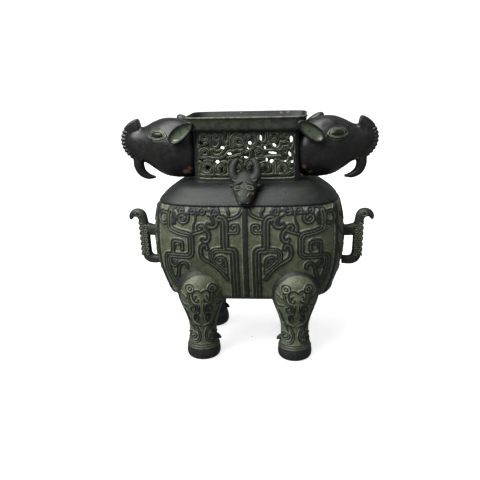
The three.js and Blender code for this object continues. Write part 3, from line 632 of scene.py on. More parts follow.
def swept_loop(profile, count):
    """A closed loop around the neck's plan; profile rows are half width, half depth, height."""
    t = np.linspace(0, 2 * math.pi, 6001)
    c, s = np.cos(t), np.sin(t)
    r = superellipse(c, s, NECK_SQUARE)
    shares = np.linspace(0, 1, count, endpoint=False)
    angles, _ = even_angles(shares, t, NECK_HALF_WIDTH * c * r, NECK_HALF_DEPTH * s * r)
    c, s = np.cos(angles), np.sin(angles)
    r = superellipse(c, s, NECK_SQUARE)
    return np.stack([np.stack([w * c * r, d * s * r, np.full(count, z)], 1) for w, d, z in profile])


def even_fields(n, edge, pattern, ground):
    return {"edge": np.broadcast_to(edge, n), "groove": np.full(n, 9.0), "pattern": np.full(n, pattern),
            "ground": np.broadcast_to(ground, n)}


def make_neck_end():
    """Plain wall round one end of the neck, at +x, from panel to panel, outside and inside."""
    bend, across, levels = 12, 20, 26
    columns = across + 2 * bend
    heights = np.linspace(NECK_FOOT - 3, RIM_FOOT + 0.5, levels)
    turn_x = np.linspace(PANEL_HALF - 0.1, NECK_HALF_WIDTH - 0.02, bend)
    x = np.concatenate([turn_x, np.full(across, NECK_HALF_WIDTH), turn_x[::-1]])
    turn_y = neck_face_y(turn_x)
    y = np.concatenate([-turn_y, np.linspace(-turn_y[-1], turn_y[-1], across + 2)[1:-1], turn_y[::-1]])
    outer = np.stack([
        np.broadcast_to(x, (levels, columns)), np.broadcast_to(y, (levels, columns)),
        np.repeat(heights[:, None], columns, 1),
    ], -1)
    inner = outer.copy()
    inner[..., 0] = np.minimum(inner[..., 0], NECK_HALF_WIDTH - WALL)
    inner[..., 1] = np.clip(inner[..., 1], WALL - NECK_HALF_DEPTH, NECK_HALF_DEPTH - WALL)
    n = levels * columns
    faces = [grid_quads(levels, columns), grid_quads(levels, columns, first=n, flip=True)]
    ground = np.repeat([0.8, 0.5], n)
    points = np.vstack([outer.reshape(-1, 3), inner.reshape(-1, 3)])
    return points, faces, even_fields(2 * n, 2.0, 0.0, ground)


def rim_profile():
    """Half width, half depth and height of the rim band: outside from the foot up, then inside down."""
    outside = [
        (3.2, -0.9), (1.7, 0.4), (1.4, 2.0), (1.4, 7.0), (1.2, 11.4), (0.8, 12.6), (0.1, 13.2), (0.0, 14.0),
        (0.1, 14.7), (0.5, RIM_BAND + 1), (2.1, RIM_BAND + 1), (2.5, RIM_BAND + 0.4), (2.9, 6),
        (RIM_WALL + 1.5, 4),
    ]
    band = [(RIM_HALF_WIDTH - inset, RIM_HALF_DEPTH - inset, RIM_FOOT + rise) for inset, rise in outside]
    below = [(NECK_HALF_WIDTH + out, NECK_HALF_DEPTH + out, RIM_FOOT + rise)
             for out, rise in ((-0.5, -3.2), (1.5, -2.2), (-WALL, -0.5), (-WALL, -3.2))]
    return below[:2] + band + below[2:]


def make_rim():
    profile = rim_profile()
    loop = swept_loop(profile, 420)
    rows, columns = loop.shape[:2]
    n = rows * columns
    here = np.arange(columns)
    beside = (here + 1) % columns
    last = (rows - 1) * columns
    foot_faces = np.stack([here, here + last, beside + last, beside], 1)
    level = np.repeat([p[2] for p in profile], columns)
    lip_row = 12
    edge = np.where(np.arange(n) // columns > lip_row, 2.0, np.where(level > RIM_FOOT + 13.5, -0.36, -0.12))
    faces = [grid_quads(rows, columns, wrap=True), foot_faces]
    return loop.reshape(-1, 3), faces, even_fields(n, edge, 0.8, 1.0)


def make_neck():
    parts = []
    back_holes = [lit_behind(hole) for hole in LIT_HOLES]
    for turn, step, holes, loose in ((1, 0.525, LIT_HOLES, DARK_HOLES), (-1, 0.92, back_holes, [])):
        points, faces, fields = make_neck_panel(step, holes, loose)
        parts.append((points * [turn, turn, 1], faces, fields))
    end_points, end_faces, end_fields = make_neck_end()
    for turn in (1, -1):
        parts.append((end_points * [turn, turn, 1], end_faces, end_fields))
    parts.append(make_rim())
    points, faces = merged([part[:2] for part in parts])
    fields = {key: np.concatenate([part[2][key] for part in parts]) for key in parts[0][2]}
    return add_mesh("vessel_neck", points, faces, fields)


# Legs
def mask_drawing():
    """Right half of the beast mask of a leg: eyes, nostrils, cheeks, jaw, and the S-scrolls of the shank."""
    d = Drawing()
    d.spiral(1.9, 13, 91, 5.0, 0, 1.0, 1.0)
    d.spiral(1.9, 13, 91, 1.9, 0, 1.0, 1.0)
    d.line(2.6, [
        (0, 86.5), (2.4, 89.4), (7, 89.8), (10.2, 86), (10.2, 80), (7.4, 76.2), (4, 76.6), (3, 79.4),
    ], 0)
    d.line(2.0, [(5.2, 83), (7.2, 82.4), (7, 79.6)], 0)
    d.line(4.2, [(15.5, 84.5), (14.4, 78), (11.6, 73), (6.4, 71.4)], 1)
    d.line(2.2, [(26, 86), (22, 82.6), (17.8, 79.6)], 0)
    d.line(2.2, [(24, 72), (20.5, 69.4), (16.5, 70.4)], 0)
    d.spiral(2.6, 9.2, 66.4, 5.8, 100, 1.45, 0.25)
    d.line(1.8, [(2.3, 73), (2.1, 66), (3.2, 60)], 0, rounding=0)
    d.spiral(2.4, 6.4, 55.6, 3.9, 120, -1.4, 0.3)
    d.line(2.4, [(20.5, 64), (17, 56), (12.5, 50.5), (7.5, 47.6), (2.6, 46.6)], 0)
    d.line(4.4, [
        (9.5, 47), (6.4, 42.5), (4, 37.5), (3.4, 30), (6.4, 24.4), (12, 23.4), (16.2, 27), (16.4, 33),
        (12.6, 36.4), (8.8, 34), (9, 30), (12, 29.4),
    ], 1)
    d.line(2.2, [(14.4, 49), (10.6, 43.4), (9.8, 39.6)], 0)
    return d


mask_lines = mask_drawing()


def kept_in_wall(points):
    """Draws the part of a leg that would stand in the hollow back into the wall of the body."""
    rows = np.array([r[:4] for r in body_stations(1.0)], float)
    rows = rows[rows[:, 2] < SHOULDER]
    rows = rows[np.argsort(rows[:, 2])]
    half_width, half_depth = (np.interp(points[:, 2], rows[:, 2], rows[:, k]) - 0.5 * WALL for k in (0, 1))
    share = 1 / superellipse(points[:, 0] / half_width, points[:, 1] / half_depth, BODY_SQUARE)
    inside = (share < 1) & (points[:, 2] > UNDERSIDE + 0.5 * WALL)
    points = points.copy()
    points[inside, :2] /= share[inside, None]
    return points


def make_leg(name, side, end, columns, step):
    """Leg with a beast mask towards the front; side and end are the signs of x and y."""
    keys = spline(LEG_PROFILE, 600)
    heights = np.arange(0, LEG_TOP + 0.01, step)
    radius = np.interp(heights, keys[:, 0], keys[:, 1])
    angles = circle(columns)
    c, s = np.sin(angles), -np.cos(angles)
    x = radius[:, None] * c[None]
    y = radius[:, None] * s[None]
    z = np.repeat(heights[:, None], columns, 1)
    points = np.stack([x, y, z], -1)
    slope = np.gradient(radius, heights)[:, None] * np.ones_like(x)
    normals = np.stack(np.broadcast_arrays(c, s, -slope), -1)
    normals /= np.linalg.norm(normals, axis=-1, keepdims=True)
    facing = ramp(-s, 0.1, 0.3)[None] * np.ones_like(x)
    # raised plain border that arches over the mask
    arch_half, arch_rise, brow = 24.8, 27.0, 86.0
    arch = np.hypot(x / arch_half, (z - brow) / arch_rise)
    border = ramp(arch, 0.98, 1.03) * ramp(z, brow - 20, brow - 2) * ramp(-s, -0.3, 0.1)[None]
    zone = facing * ramp(z, HOOF_TOP, HOOF_TOP + 1) * (1 - border)
    edge, groove, _ = mask_lines.measure(x, z - 5.5 * ramp(z, 50, 66) - 1.5 * ramp(z, 84, 92))
    edge = edge - 0.4
    rise = relief_height(edge, groove, 1.4, 0.7) * zone + 1.15 * border
    for below in (0.1, 2.9, 5.6):
        rise += 0.6 * np.exp(-(((z - HOOF_TOP + below) / 0.75) ** 2))
    nose = np.exp(-((x / 2.6) ** 2)) * ramp(z, 56, 62) * (1 - ramp(z, 84, 92)) * facing
    rise += 1.1 * nose
    points = points + normals * rise[..., None]
    rows = len(heights)
    # underside of the hoof, closed towards its middle
    lower = np.stack([points[0] * [share, share, 1] for share in (0.02, 0.5, 0.93)])
    lower[..., 2] = 0
    points = np.concatenate([lower, points])
    pad = np.zeros((3, columns))
    low_line = np.exp(-((z - HOOF_TOP + 1.5) ** 2)) + np.exp(-((z - HOOF_TOP + 4.3) ** 2))
    fields = {
        "edge": np.concatenate([pad - 3, np.where(zone > 0.5, edge, -2)]),
        "groove": np.concatenate([pad + 9, groove]),
        "pattern": np.concatenate([pad, zone]),
        "ground": np.concatenate([pad, np.clip(zone + 0.6 * low_line * (1 - zone), 0, 1)]),
    }
    leg_turn = rotation((0, 0, 1), math.radians(7))
    place_at = [LEG_X * side, LEG_Y * end, 0]
    flat = points.reshape(-1, 3) @ leg_turn.T * [1, -1 if end > 0 else 1, 1]
    flat = kept_in_wall(flat + place_at)
    spur_points, spur_faces = make_spur()
    spur_points = spur_points * [-side, 1, 1] + place_at
    spur_faces = spur_faces if side < 0 else spur_faces[:, ::-1]
    for key, value in {"edge": 2, "groove": 9, "pattern": 0, "ground": 0}.items():
        fields[key] = np.append(fields[key].ravel(), np.full(len(spur_points), value))
    faces = [grid_quads(rows + 3, columns, wrap=True, flip=end > 0), spur_faces + len(flat)]
    return add_mesh(name, np.vstack([flat, spur_points]), faces, fields)


def make_spur():
    """Dewclaw on the inner side of the shank, along +x; rows are x, z and radius."""
    path = [(13, 25.5, 4.0), (17, 25.4, 3.6), (19.8, 24.4, 3.0), (21.8, 23.2, 2.0), (22.8, 22.6, 0.4)]
    sides = 16
    t = circle(sides)
    rings = [np.stack([np.full(sides, x), r * np.cos(t), z + r * np.sin(t)], 1) for x, z, r in path]
    return np.vstack(rings), grid_quads(len(path), sides, wrap=True)


# Free forms
def loft(rings):
    """Closed surface over rings of equal point counts, with capped ends."""
    rings = np.asarray(rings, float)
    rows, columns = rings.shape[:2]
    points = rings.reshape(-1, 3)
    first, last = rings[0].mean(0), rings[-1].mean(0)
    n = len(points)
    j = np.arange(columns)
    k = (j + 1) % columns
    caps = [np.stack([k, j, np.full(columns, n)], 1),
            np.stack([j + (rows - 1) * columns, k + (rows - 1) * columns, np.full(columns, n + 1)], 1)]
    return np.vstack([points, first, last]), [grid_quads(rows, columns, wrap=True), *caps]


def tube(path, radii, sides, up=(0, 1, 0), squareness=2.0):
    """Loft along a path; radii rows are the half size across and along the up direction."""
    path = np.asarray(path, float)
    tangent = np.gradient(path, axis=0)
    tangent /= np.linalg.norm(tangent, axis=1, keepdims=True)
    up = np.broadcast_to(np.asarray(up, float), path.shape)
    side = np.cross(tangent, up)
    side /= np.maximum(np.linalg.norm(side, axis=1, keepdims=True), 1e-9)
    top = np.cross(side, tangent)
    t = circle(sides)
    r = superellipse(np.cos(t), np.sin(t), squareness)
    across = (np.cos(t) * r)[None, :, None] * radii[:, None, None, 0]
    along_up = (np.sin(t) * r)[None, :, None] * radii[:, None, None, 1]
    return loft(path[:, None] + side[:, None] * across + top[:, None] * along_up)


def upright_tube(keys, count, sides, squareness=2.0):
    """Tube in the plane y = 0 through rows of x, z and two half sizes."""
    keys = spline(keys, count)
    path = np.stack([keys[:, 0], 0 * keys[:, 0], keys[:, 1]], 1)
    return tube(path, keys[:, 2:4], sides, squareness=squareness)


def ball(centre, radii, turn=None):
    rows, columns = 14, 24
    v = np.linspace(-math.pi / 2, math.pi / 2, rows)[1:-1]
    u = circle(columns)
    rings = np.stack([
        np.cos(v)[:, None] * np.cos(u), np.cos(v)[:, None] * np.sin(u), np.sin(v)[:, None] * np.ones(columns),
    ], -1) * np.asarray(radii, float)
    if turn is not None:
        rings = rings @ turn.T
    return loft(rings + np.asarray(centre, float))


def ring_torus(centre, radii, thick, turn=None, count=16, sides=6):
    """A ring in the XZ plane before the turn."""
    u, v = circle(count), circle(sides)
    middle = np.stack([radii[0] * np.cos(u), 0 * u, radii[1] * np.sin(u)], 1)
    out = np.stack([np.cos(u), 0 * u, np.sin(u)], 1)
    deep = np.array([0, 1.0, 0])
    points = middle[:, None] + thick * (out[:, None] * np.cos(v)[:, None] + deep * np.sin(v)[:, None])
    points = points.reshape(-1, 3)
    if turn is not None:
        points = points @ turn.T
    i, j = np.arange(count)[:, None], np.arange(sides)
    here, beside = i * sides, (i + 1) % count * sides
    after = (j + 1) % sides
    quads = np.stack([here + j, here + after, beside + after, beside + j], -1)
    return points + np.asarray(centre, float), [quads.reshape(-1, 4)]


def rotation(axis, angle):
    return np.array(Matrix.Rotation(angle, 3, Vector(axis)))


def merged(parts):
    points, faces, first = [], [], 0
    for p, f in parts:
        points.append(p)
        faces.extend([x + first for x in f if len(x)])
        first += len(p)
    return np.vstack(points), faces


def marked(parts):
    """Joins pairs of a form and its share of green, one number or one per point; lifts the whole."""
    points, faces = merged([part for part, _ in parts])
    green = np.concatenate([np.broadcast_to(share, len(part[0])) for part, share in parts])
    return points + [0, 0, LIFT], faces, green


def fused(name, parts, voxel, smooth):
    """Joins closed forms into one skin and softens the joints; gives points in mm and polygons."""
    points, faces = merged(parts)
    obj = add_mesh(name + "_raw", points, faces)
    remesh = obj.modifiers.new("skin", "REMESH")
    remesh.mode = "VOXEL"
    remesh.voxel_size = voxel * 0.001
    soft = obj.modifiers.new("soft", "SMOOTH")
    soft.iterations = smooth
    soft.factor = 0.5
    graph = bpy.context.evaluated_depsgraph_get()
    mesh = bpy.data.meshes.new_from_object(obj.evaluated_get(graph))
    co = np.zeros(len(mesh.vertices) * 3, np.float32)
    mesh.vertices.foreach_get("co", co)
    corners = np.zeros(len(mesh.loops), np.int32)
    mesh.loops.foreach_get("vertex_index", corners)
    starts = np.zeros(len(mesh.polygons), np.int32)
    mesh.polygons.foreach_get("loop_start", starts)
    sizes = np.diff(np.append(starts, len(corners)))
    polygons = []
    for size in np.unique(sizes):
        at = starts[sizes == size]
        polygons.append(np.stack([corners[at + k] for k in range(size)], 1))
    bpy.data.objects.remove(obj)
    bpy.data.meshes.remove(mesh)
    return co.reshape(-1, 3) * 1000.0, polygons


def head_ring(x, top, bottom, half_depth):
    t = circle(72)
    middle, half = (top + bottom) / 2, (top - bottom) / 2
    return np.stack([np.full(len(t), x), half_depth * np.cos(t), middle + half * np.sin(t)], 1)


# Rings of the skull: x, top, bottom and half depth
SKULL = [
    (63.0, 275, 219.8, 26.4), (68.3, 281, 215, 30), (78, 284.5, 214.5, 31), (90, 287.5, 214.5, 31),
    (104, 287.5, 217.5, 28.5), (116, 283.5, 224.5, 23), (126, 278.5, 231.5, 18), (134, 276, 235, 14.5),
    (143, 274.5, 240, 11), (149, 269, 246, 8),
]
SNOUT_X, SNOUT_Z, SNOUT_REACH, SNOUT_RISE = 129.0, 261.0, 29.0, 27.5


def skull_depth(x, z):
    """Half depth of the skull at x and z."""
    keys = spline(SKULL, 200)
    top, bottom, half = (np.interp(x, keys[:, 0], keys[:, k]) for k in (1, 2, 3))
    return half * np.sqrt(np.clip(1 - ((z - (top + bottom) / 2) / ((top - bottom) / 2)) ** 2, 0.02, 1))


def on_skull(line, radius, side, sink, count=None):
    """A round bead along a line of x and z, laid on one side of the skull."""
    line = np.asarray(line, float)
    if count:
        line = spline(line, count)
    path = np.stack([line[:, 0], side * (skull_depth(line[:, 0], line[:, 1]) - sink), line[:, 1]], 1)
    taper = np.minimum(1, 0.35 + 3 * np.minimum(np.linspace(0, 1, len(line)), np.linspace(1, 0, len(line))))
    return tube(path, np.stack([radius * taper, radius * taper], 1), 12, up=(0, 1, 0))


def almond(cx, cz, half_width, up, down, sharp=1.25):
    t = np.linspace(0, 2 * math.pi, 64)
    s = np.sin(t)
    z = cz + np.where(s > 0, up, down) * np.sign(s) * np.abs(s) ** sharp
    return np.stack([cx + half_width * np.cos(t), z], 1)


# Rings of an ear from its back to the hollow's floor: share of the outline and height
EAR_RINGS = [
    (0.55, -4.5), (0.85, -3.2), (1.0, -1.0), (1.04, 1.0), (1.02, 2.6), (0.95, 3.5), (0.84, 3.2), (0.76, 1.6),
    (0.68, 0.4), (0.45, -0.2), (0.2, -0.4),
]
EAR_COLUMNS = 72


def ear_leaf(side, centre, tilt, lean):
    """Pointed leaf with a raised edge round a hollow."""
    t = circle(EAR_COLUMNS)
    pointed = 1 - 0.20 * np.abs(np.sin(t)) ** 0.8
    u = 18.4 * np.cos(t)
    v = 10.2 * np.sin(t) * pointed * (1 - 0.16 * side * np.cos(t))
    rings = [np.stack([u * (1 - (1 - share) * 0.72), np.full(EAR_COLUMNS, side * height), v * share], 1)
             for share, height in EAR_RINGS]
    turn = rotation((0, 0, 1), side * lean) @ rotation((0, 1, 0), tilt)
    points, faces = loft(np.array(rings) @ turn.T + centre * np.array([1, side, 1]))
    return points, faces if side > 0 else [f[:, ::-1] for f in faces]


def make_head_parts():
    skull = loft([head_ring(*row) for row in spline(SKULL, 60)])
    # crescent of the snout
    turn = np.linspace(-1.02, 1.22, 121)
    outer = np.stack([SNOUT_X + SNOUT_REACH * np.cos(turn), SNOUT_Z + SNOUT_RISE * np.sin(turn)], 1)
    inner_keys = np.array([(145, 241), (141, 246), (138, 262), (134, 276), (135.5, 285)], float)
    inner = spline(inner_keys, 121)
    half = 7.5 - 1.2 * ramp(np.abs(turn - 0.1), 0.6, 1.3)
    crescent = loft([[
        (i[0], -h - 0.6, i[1]), (o[0] - 2.0, -h, o[1]), (o[0], -h + 1.6, o[1]),
        (o[0], h - 1.6, o[1]), (o[0] - 2.0, h, o[1]), (i[0], h + 0.6, i[1]),
    ] for o, i, h in zip(outer, inner, half)])
    # swelling that carries the skull into the crescent
    swell_keys = [(126, 277, 233, 17), (136, 277.5, 236, 12.6), (143, 278, 239, 10), (149, 277, 242, 8.2),
        (153, 273, 247, 7)]
    swell = loft([head_ring(*row) for row in spline(swell_keys, 24)])
    hook = upright_tube([
        (137, 252, 8, 8.5), (138, 238, 7, 7.8), (138.2, 229, 6.6, 7), (134.7, 220.5, 5.6, 6),
        (127, 215.4, 4, 4.6), (117.6, 214, 1.5, 2),
    ], 40, 28)
    return [skull, crescent, swell, hook]


def notch_snout(points):
    """Cuts the row of short grooves into the outer edge of the crescent."""
    x, z = points[:, 0] - SNOUT_X, points[:, 2] - SNOUT_Z
    reach = np.hypot(x / SNOUT_REACH, z / SNOUT_RISE)
    angle = np.arctan2(z / SNOUT_RISE, x / SNOUT_REACH)
    row_angle, grooves = 1.72, 9
    wave = 0.5 - 0.5 * np.cos((angle + 1.0) / row_angle * grooves * 2 * math.pi)
    row = ramp(angle, -1.0, -0.86) * (1 - ramp(angle, 0.62, 0.72)) * ramp(reach, 0.78, 0.84)
    cut = row * (x > 0) * (1 - wave) ** 2
    out = np.stack([x / np.maximum(reach, 1e-6), z / np.maximum(reach, 1e-6)], 1) / SNOUT_REACH
    points = points.copy()
    points[:, [0, 2]] -= out * cut[:, None]
    points[:, 1] *= 1 - 0.16 * cut
    return points, cut


def make_head():
    points, faces = fused("head", make_head_parts(), 0.85, 5)
    points, cut = notch_snout(points)
    parts = [((points, faces), cut * 0.25)]
    x, z = 108.0, 269.2
    lid = [(120.5, 267.5), (116, 273.6), (108, 276.6), (100, 273.8), (95.5, 268), (92.6, 263.6)]
    fold = [(115, 264), (110, 261.6), (104, 261.4), (99.5, 263.2)]
    ring = np.repeat(np.arange(len(EAR_RINGS)), EAR_COLUMNS)
    ear_green = np.append(np.where(ring > 7, 0.85, np.where(ring == 7, 0.5, 0.0)), [0, 0.85])
    for side in (-1, 1):
        eyeball = (x - 0.4, side * (skull_depth(x, z) + 0.5), z)
        ear = ((75.6, 37.2, 273.6), 0.62, -0.26) if side < 0 else ((79.5, 33, 274.4), -0.78, 0.1)
        parts += [
            (on_skull(almond(x, z - 0.6, 11.6, 6.2, 4.6), 1.05, side, 0.1), 0.75),
            (on_skull(almond(x - 0.4, z - 0.2, 8.2, 4.5, 3.7, 0.9), 0.75, side, -0.3), 1.0),
            (on_skull(lid, 1.1, side, 0.3, 50), 0.2),
            (on_skull(fold, 0.8, side, 0.3, 24), 0.2),
            (ball(eyeball, (8.2, 3.0, 4.0), rotation((0, 0, 1), side * -0.42)), 0.0),
            (ear_leaf(side, *ear), ear_green),
        ]
    points, faces, green = marked(parts)
    return points, faces, {"green": green, "copper": copper_spots(points)}


# Bare metal at the joints: place and reach
COPPER = [
    (61, -35, 284, 3), (65, -32, 274, 4), (66, -31, 267, 4), (68, -26, 234, 4.5), (74, -22, 228, 6),
    (131, -6, 243, 4), (66, 31, 270, 4), (70, 24, 231, 6),
]


def copper_spots(points):
    spots = np.zeros(len(points))
    at = np.abs(points) * [1, 0, 0] + points * [0, 1, 1]
    for x, y, z, reach in COPPER:
        spots = np.maximum(spots, 1 - np.linalg.norm(at - [x, y, z], axis=1) / reach)
    return np.clip(spots * 2, 0, 1)


def handle_parts():
    """The bent shaft with its hooked head, and the stub that carries it."""
    shaft = upright_tube([
        (117, 106.2, 5.2, 5.6), (126, 105.8, 5.4, 6.0), (131.5, 107.6, 6.0, 6.3), (135, 112.5, 6.2, 6.5),
        (136.1, 124, 6.2, 6.5), (136.5, 137, 6.1, 6.5), (137, 149, 6.0, 6.4), (137.8, 158, 5.6, 6.2),
        (140.5, 165.5, 6.2, 5.8), (146.5, 167.6, 5.6, 5.0), (151.5, 165.4, 4.2, 3.6),
        (153.6, 161.2, 2.6, 2.4), (153.4, 158.6, 1.2, 1.2),
    ], 110, 32, 3.0)
    stub = upright_tube([
        (116, 145, 7.2, 6.2), (124, 145, 7.0, 6.2), (130, 146, 7.6, 6.4), (136, 147, 8, 6.4),
    ], 14, 28, 3.0)
    return [shaft, stub]


def make_handle():
    """The handle with the bird's eyes and rows of small rings on its sides and its outer face."""
    parts = [(fused("handle", handle_parts(), 0.6, 2), 0.12)]
    ring, lean = (1.9, 1.9), 0.03
    for side in (-1, 1):
        parts.append((ball((143.4, side * 5.0, 167.2), (2.0, 1.2, 2.0)), 0.0))
        parts.append((ring_torus((143.4, side * 5.4, 167.2), (3.3, 2.9), 0.6, None, 40, 10), 1.0))
        for height in range(116, 153, 6):
            for across in (-2.6, 2.6):
                x = 136.3 + (height - 122) * lean + across
                parts.append((ring_torus((x, side * 6.4, height + across * 0.5), ring, 0.65), 1.0))
    outward = rotation((0, 0, 1), math.pi / 2)
    for height in range(113, 156, 7):
        for across in (-2.8, 2.8):
            x = 142.2 + (height - 120) * lean
            parts.append((ring_torus((x, across, height), ring, 0.6, outward), 1.0))
    points, faces, green = marked(parts)
    return points, faces, {"green": green, "copper": 0 * green}


def ox_parts():
    """Face, horns, brows, cheeks, ears and nostrils."""
    keys = spline([
        (-42, 226, 7, 5), (-50, 222, 10.5, 7.5), (-56, 216, 14, 8.5), (-63, 209, 13.6, 8),
        (-69, 202.5, 10.4, 7), (-73.5, 197.5, 8.0, 5.6), (-75, 195, 4, 3.4),
    ], 36)
    path = np.stack([0 * keys[:, 0], keys[:, 0], keys[:, 1]], 1)
    up = np.cross(np.gradient(path, axis=0), [1.0, 0, 0])
    up /= np.linalg.norm(up, axis=1, keepdims=True)
    parts = [tube(path, keys[:, 2:4], 32, up=up)]
    horn_keys = [
        (4, -52, 220, 5.2), (9.5, -54, 220.5, 5.8), (13.4, -53.4, 224, 5.6), (14.4, -51.6, 230.5, 5.0),
        (13.2, -49.6, 237, 4.4), (10, -48, 241.4, 3.6), (6.6, -47.4, 242, 2.0),
    ]
    for side in (-1, 1):
        horn = spline(horn_keys, 40) * [side, 1, 1, 1]
        parts += [
            tube(horn[:, :3], horn[:, [3, 3]], 16, up=(0, 1, 0.2)),
            ball((side * 8.8, -52.5, 221.5), (6.0, 5.2, 5.6)),
            ball((side * 8.0, -63, 212.5), (5.0, 3.0, 3.2), rotation((0, 1, 0), side * 0.35)),
            ball((side * 14.5, -57.5, 213.5), (4.6, 2.2, 2.4), rotation((0, 1, 0), side * -0.25)),
            ball((side * 3.4, -75.2, 198.5), (2.2, 1.4, 1.8)),
        ]
    return parts


def make_ox():
    parts = [(fused("ox", ox_parts(), 0.6, 2), 0.05)]
    face_turn = rotation((1, 0, 0), -0.8)
    for side in (-1, 1):
        turn = face_turn @ rotation((0, 1, 0), side * 0.42)
        parts += [
            (ball((side * 6.6, -68.6, 213.4), (2.9, 1.5, 1.7), turn), 0.0),
            (ring_torus((side * 6.6, -68.8, 213.6), (4.3, 2.5), 0.8, turn, 28, 8), 0.8),
            (ball((side * 6.2, -65.8, 218.2), (5.4, 1.6, 1.4), turn), 0.1),
            (ring_torus((side * 3.2, -75.8, 198.6), (2.2, 1.6), 0.8, turn), 0.9),
            (ring_torus((side * 9.8, -57.2, 222.6), (4.4, 3.4), 0.9, turn, 24, 8), 0.7),
            (ball((side * 5.2, -73.2, 206.6), (1.2, 1.2, 3.8), turn), 0.6),
        ]
    parts.append((ring_torus((0, -67.2, 215.6), (1.9, 4.4), 0.7, face_turn, 24, 8), 0.6))
    points, faces, green = marked(parts)
    copper = np.zeros(len(points))
    for x, z in ((-4.5, 208), (9.5, 207)):
        near = 1 - np.hypot(points[:, 0] - x, points[:, 2] - LIFT - z) / 2.6
        copper = np.maximum(copper, np.clip(near * 1.2, 0, 0.7))
    return points, faces, {"green": green, "copper": copper}


# Materials
def bronze(name, plain, shade):
    """Patinated bronze: green in the recesses, dark on the raised parts, pale along their edges; on the sunk
    ground of the neck the dark stays as painted shade.
    """
    material = bpy.data.materials.new(name)
    material.use_nodes = True
    tree = material.node_tree
    nodes, links = tree.nodes, tree.links
    nodes.clear()
    out = nodes.new("ShaderNodeOutputMaterial")
    shader = nodes.new("ShaderNodeBsdfPrincipled")
    links.new(shader.outputs[0], out.inputs["Surface"])
    where = nodes.new("ShaderNodeTexCoord").outputs["Object"]

    def feed(value, socket):
        """Links another node's socket, or sets a number or a colour."""
        if hasattr(value, "links"):
            links.new(value, socket)
        else:
            socket.default_value = (*value, 1) if isinstance(value, tuple) else value

    def attribute(key):
        node = nodes.new("ShaderNodeAttribute")
        node.attribute_name = key
        return node.outputs["Fac"]

    def maths(operation, a, b):
        node = nodes.new("ShaderNodeMath")
        node.operation = operation
        feed(a, node.inputs[0])
        feed(b, node.inputs[1])
        return node.outputs[0]

    def times(a, b):
        return maths("MULTIPLY", a, b)

    def plus(a, b):
        return maths("ADD", a, b)

    def rest_of(a):
        return maths("SUBTRACT", 1.0, a)

    def step(value, low, high):
        node = nodes.new("ShaderNodeMapRange")
        node.interpolation_type = "SMOOTHSTEP"
        feed(value, node.inputs["Value"])
        feed(low, node.inputs["From Min"])
        feed(high, node.inputs["From Max"])
        return node.outputs["Result"]

    def noise(scale, detail, rough, distortion=0.0):
        node = nodes.new("ShaderNodeTexNoise")
        feed(where, node.inputs["Vector"])
        feed(scale, node.inputs["Scale"])
        feed(detail, node.inputs["Detail"])
        feed(rough, node.inputs["Roughness"])
        feed(distortion, node.inputs["Distortion"])
        return node.outputs["Fac"]

    def mix(share, a, b):
        """Colour b over colour a; the sockets 6 and 7 are a Mix node's colours."""
        node = nodes.new("ShaderNodeMix")
        node.data_type = "RGBA"
        feed(share, node.inputs[0])
        feed(a, node.inputs[6])
        feed(b, node.inputs[7])
        return node.outputs[2]

    fine = noise(900, 5, 0.65)
    middle = noise(150, 5, 0.6, 0.4)
    broad = noise(28, 4, 0.55, 0.3)
    dark = mix(step(middle, 0.35, 0.7), shade["dark"], shade["dark_light"])
    dark = mix(step(broad, 0.45, 0.75), dark, shade["dark_warm"])
    dark = mix(times(step(fine, 0.52, 0.74), 0.5), dark, shade["speck"])
    if plain:
        worn = times(attribute("green"), step(plus(middle, times(fine, 0.5)), 0.45, 0.8))
        colour = mix(worn, dark, shade["green"])
        bare = times(attribute("copper"), step(middle, 0.42, 0.6))
    else:
        edge = attribute("edge")
        channel = times(rest_of(step(attribute("groove"), 0.35, 0.85)), step(edge, 0.4, 0.9))
        # The ground number sets how much of the low parts turns green; on the neck's sunk ground it is kept
        # small, so that ground keeps the dark colour as painted shade
        low = times(rest_of(times(step(edge, -0.55, 0.0), rest_of(channel))), attribute("ground"))
        green = mix(step(middle, 0.3, 0.7), shade["green"], shade["green_light"])
        green = mix(step(fine, 0.46, 0.72), green, shade["green_dark"])
        green = mix(times(step(broad, 0.5, 0.72), 0.55), green, shade["green_dark"])
        rim = times(step(edge, -1.3, -0.75), rest_of(step(edge, -0.5, 0.0)))
        rim = times(times(rim, attribute("pattern")), step(noise(210, 3, 0.5), 0.36, 0.6))
        colour = mix(times(low, step(plus(broad, times(fine, 0.3)), 0.35, 0.6)), dark, green)
        colour = mix(times(rim, 0.65), colour, shade["edge"])
        bare = times(step(noise(62, 2, 0.5), 0.73, 0.76), 0.5)
    colour = mix(bare, colour, BARE_METAL)
    colour = mix(times(step(noise(420, 3, 0.7), 0.64, 0.76), 0.6), colour, shade["speck"])
    colour = mix(times(step(noise(640, 3, 0.75), 0.6, 0.72), 0.55), colour, shade["dark"])
    feed(colour, shader.inputs["Base Color"])
    rough = nodes.new("ShaderNodeMapRange")
    feed(middle, rough.inputs["Value"])
    feed(shade["rough"][0], rough.inputs["To Min"])
    feed(shade["rough"][1], rough.inputs["To Max"])
    feed(rough.outputs["Result"], shader.inputs["Roughness"])
    feed(shade["metal"], shader.inputs["Metallic"])
    bump = nodes.new("ShaderNodeBump")
    feed(shade["bump"], bump.inputs["Strength"])
    feed(0.0006, bump.inputs["Distance"])
    feed(plus(fine, times(middle, 0.8)), bump.inputs["Height"])
    feed(bump.outputs["Normal"], shader.inputs["Normal"])
    return material


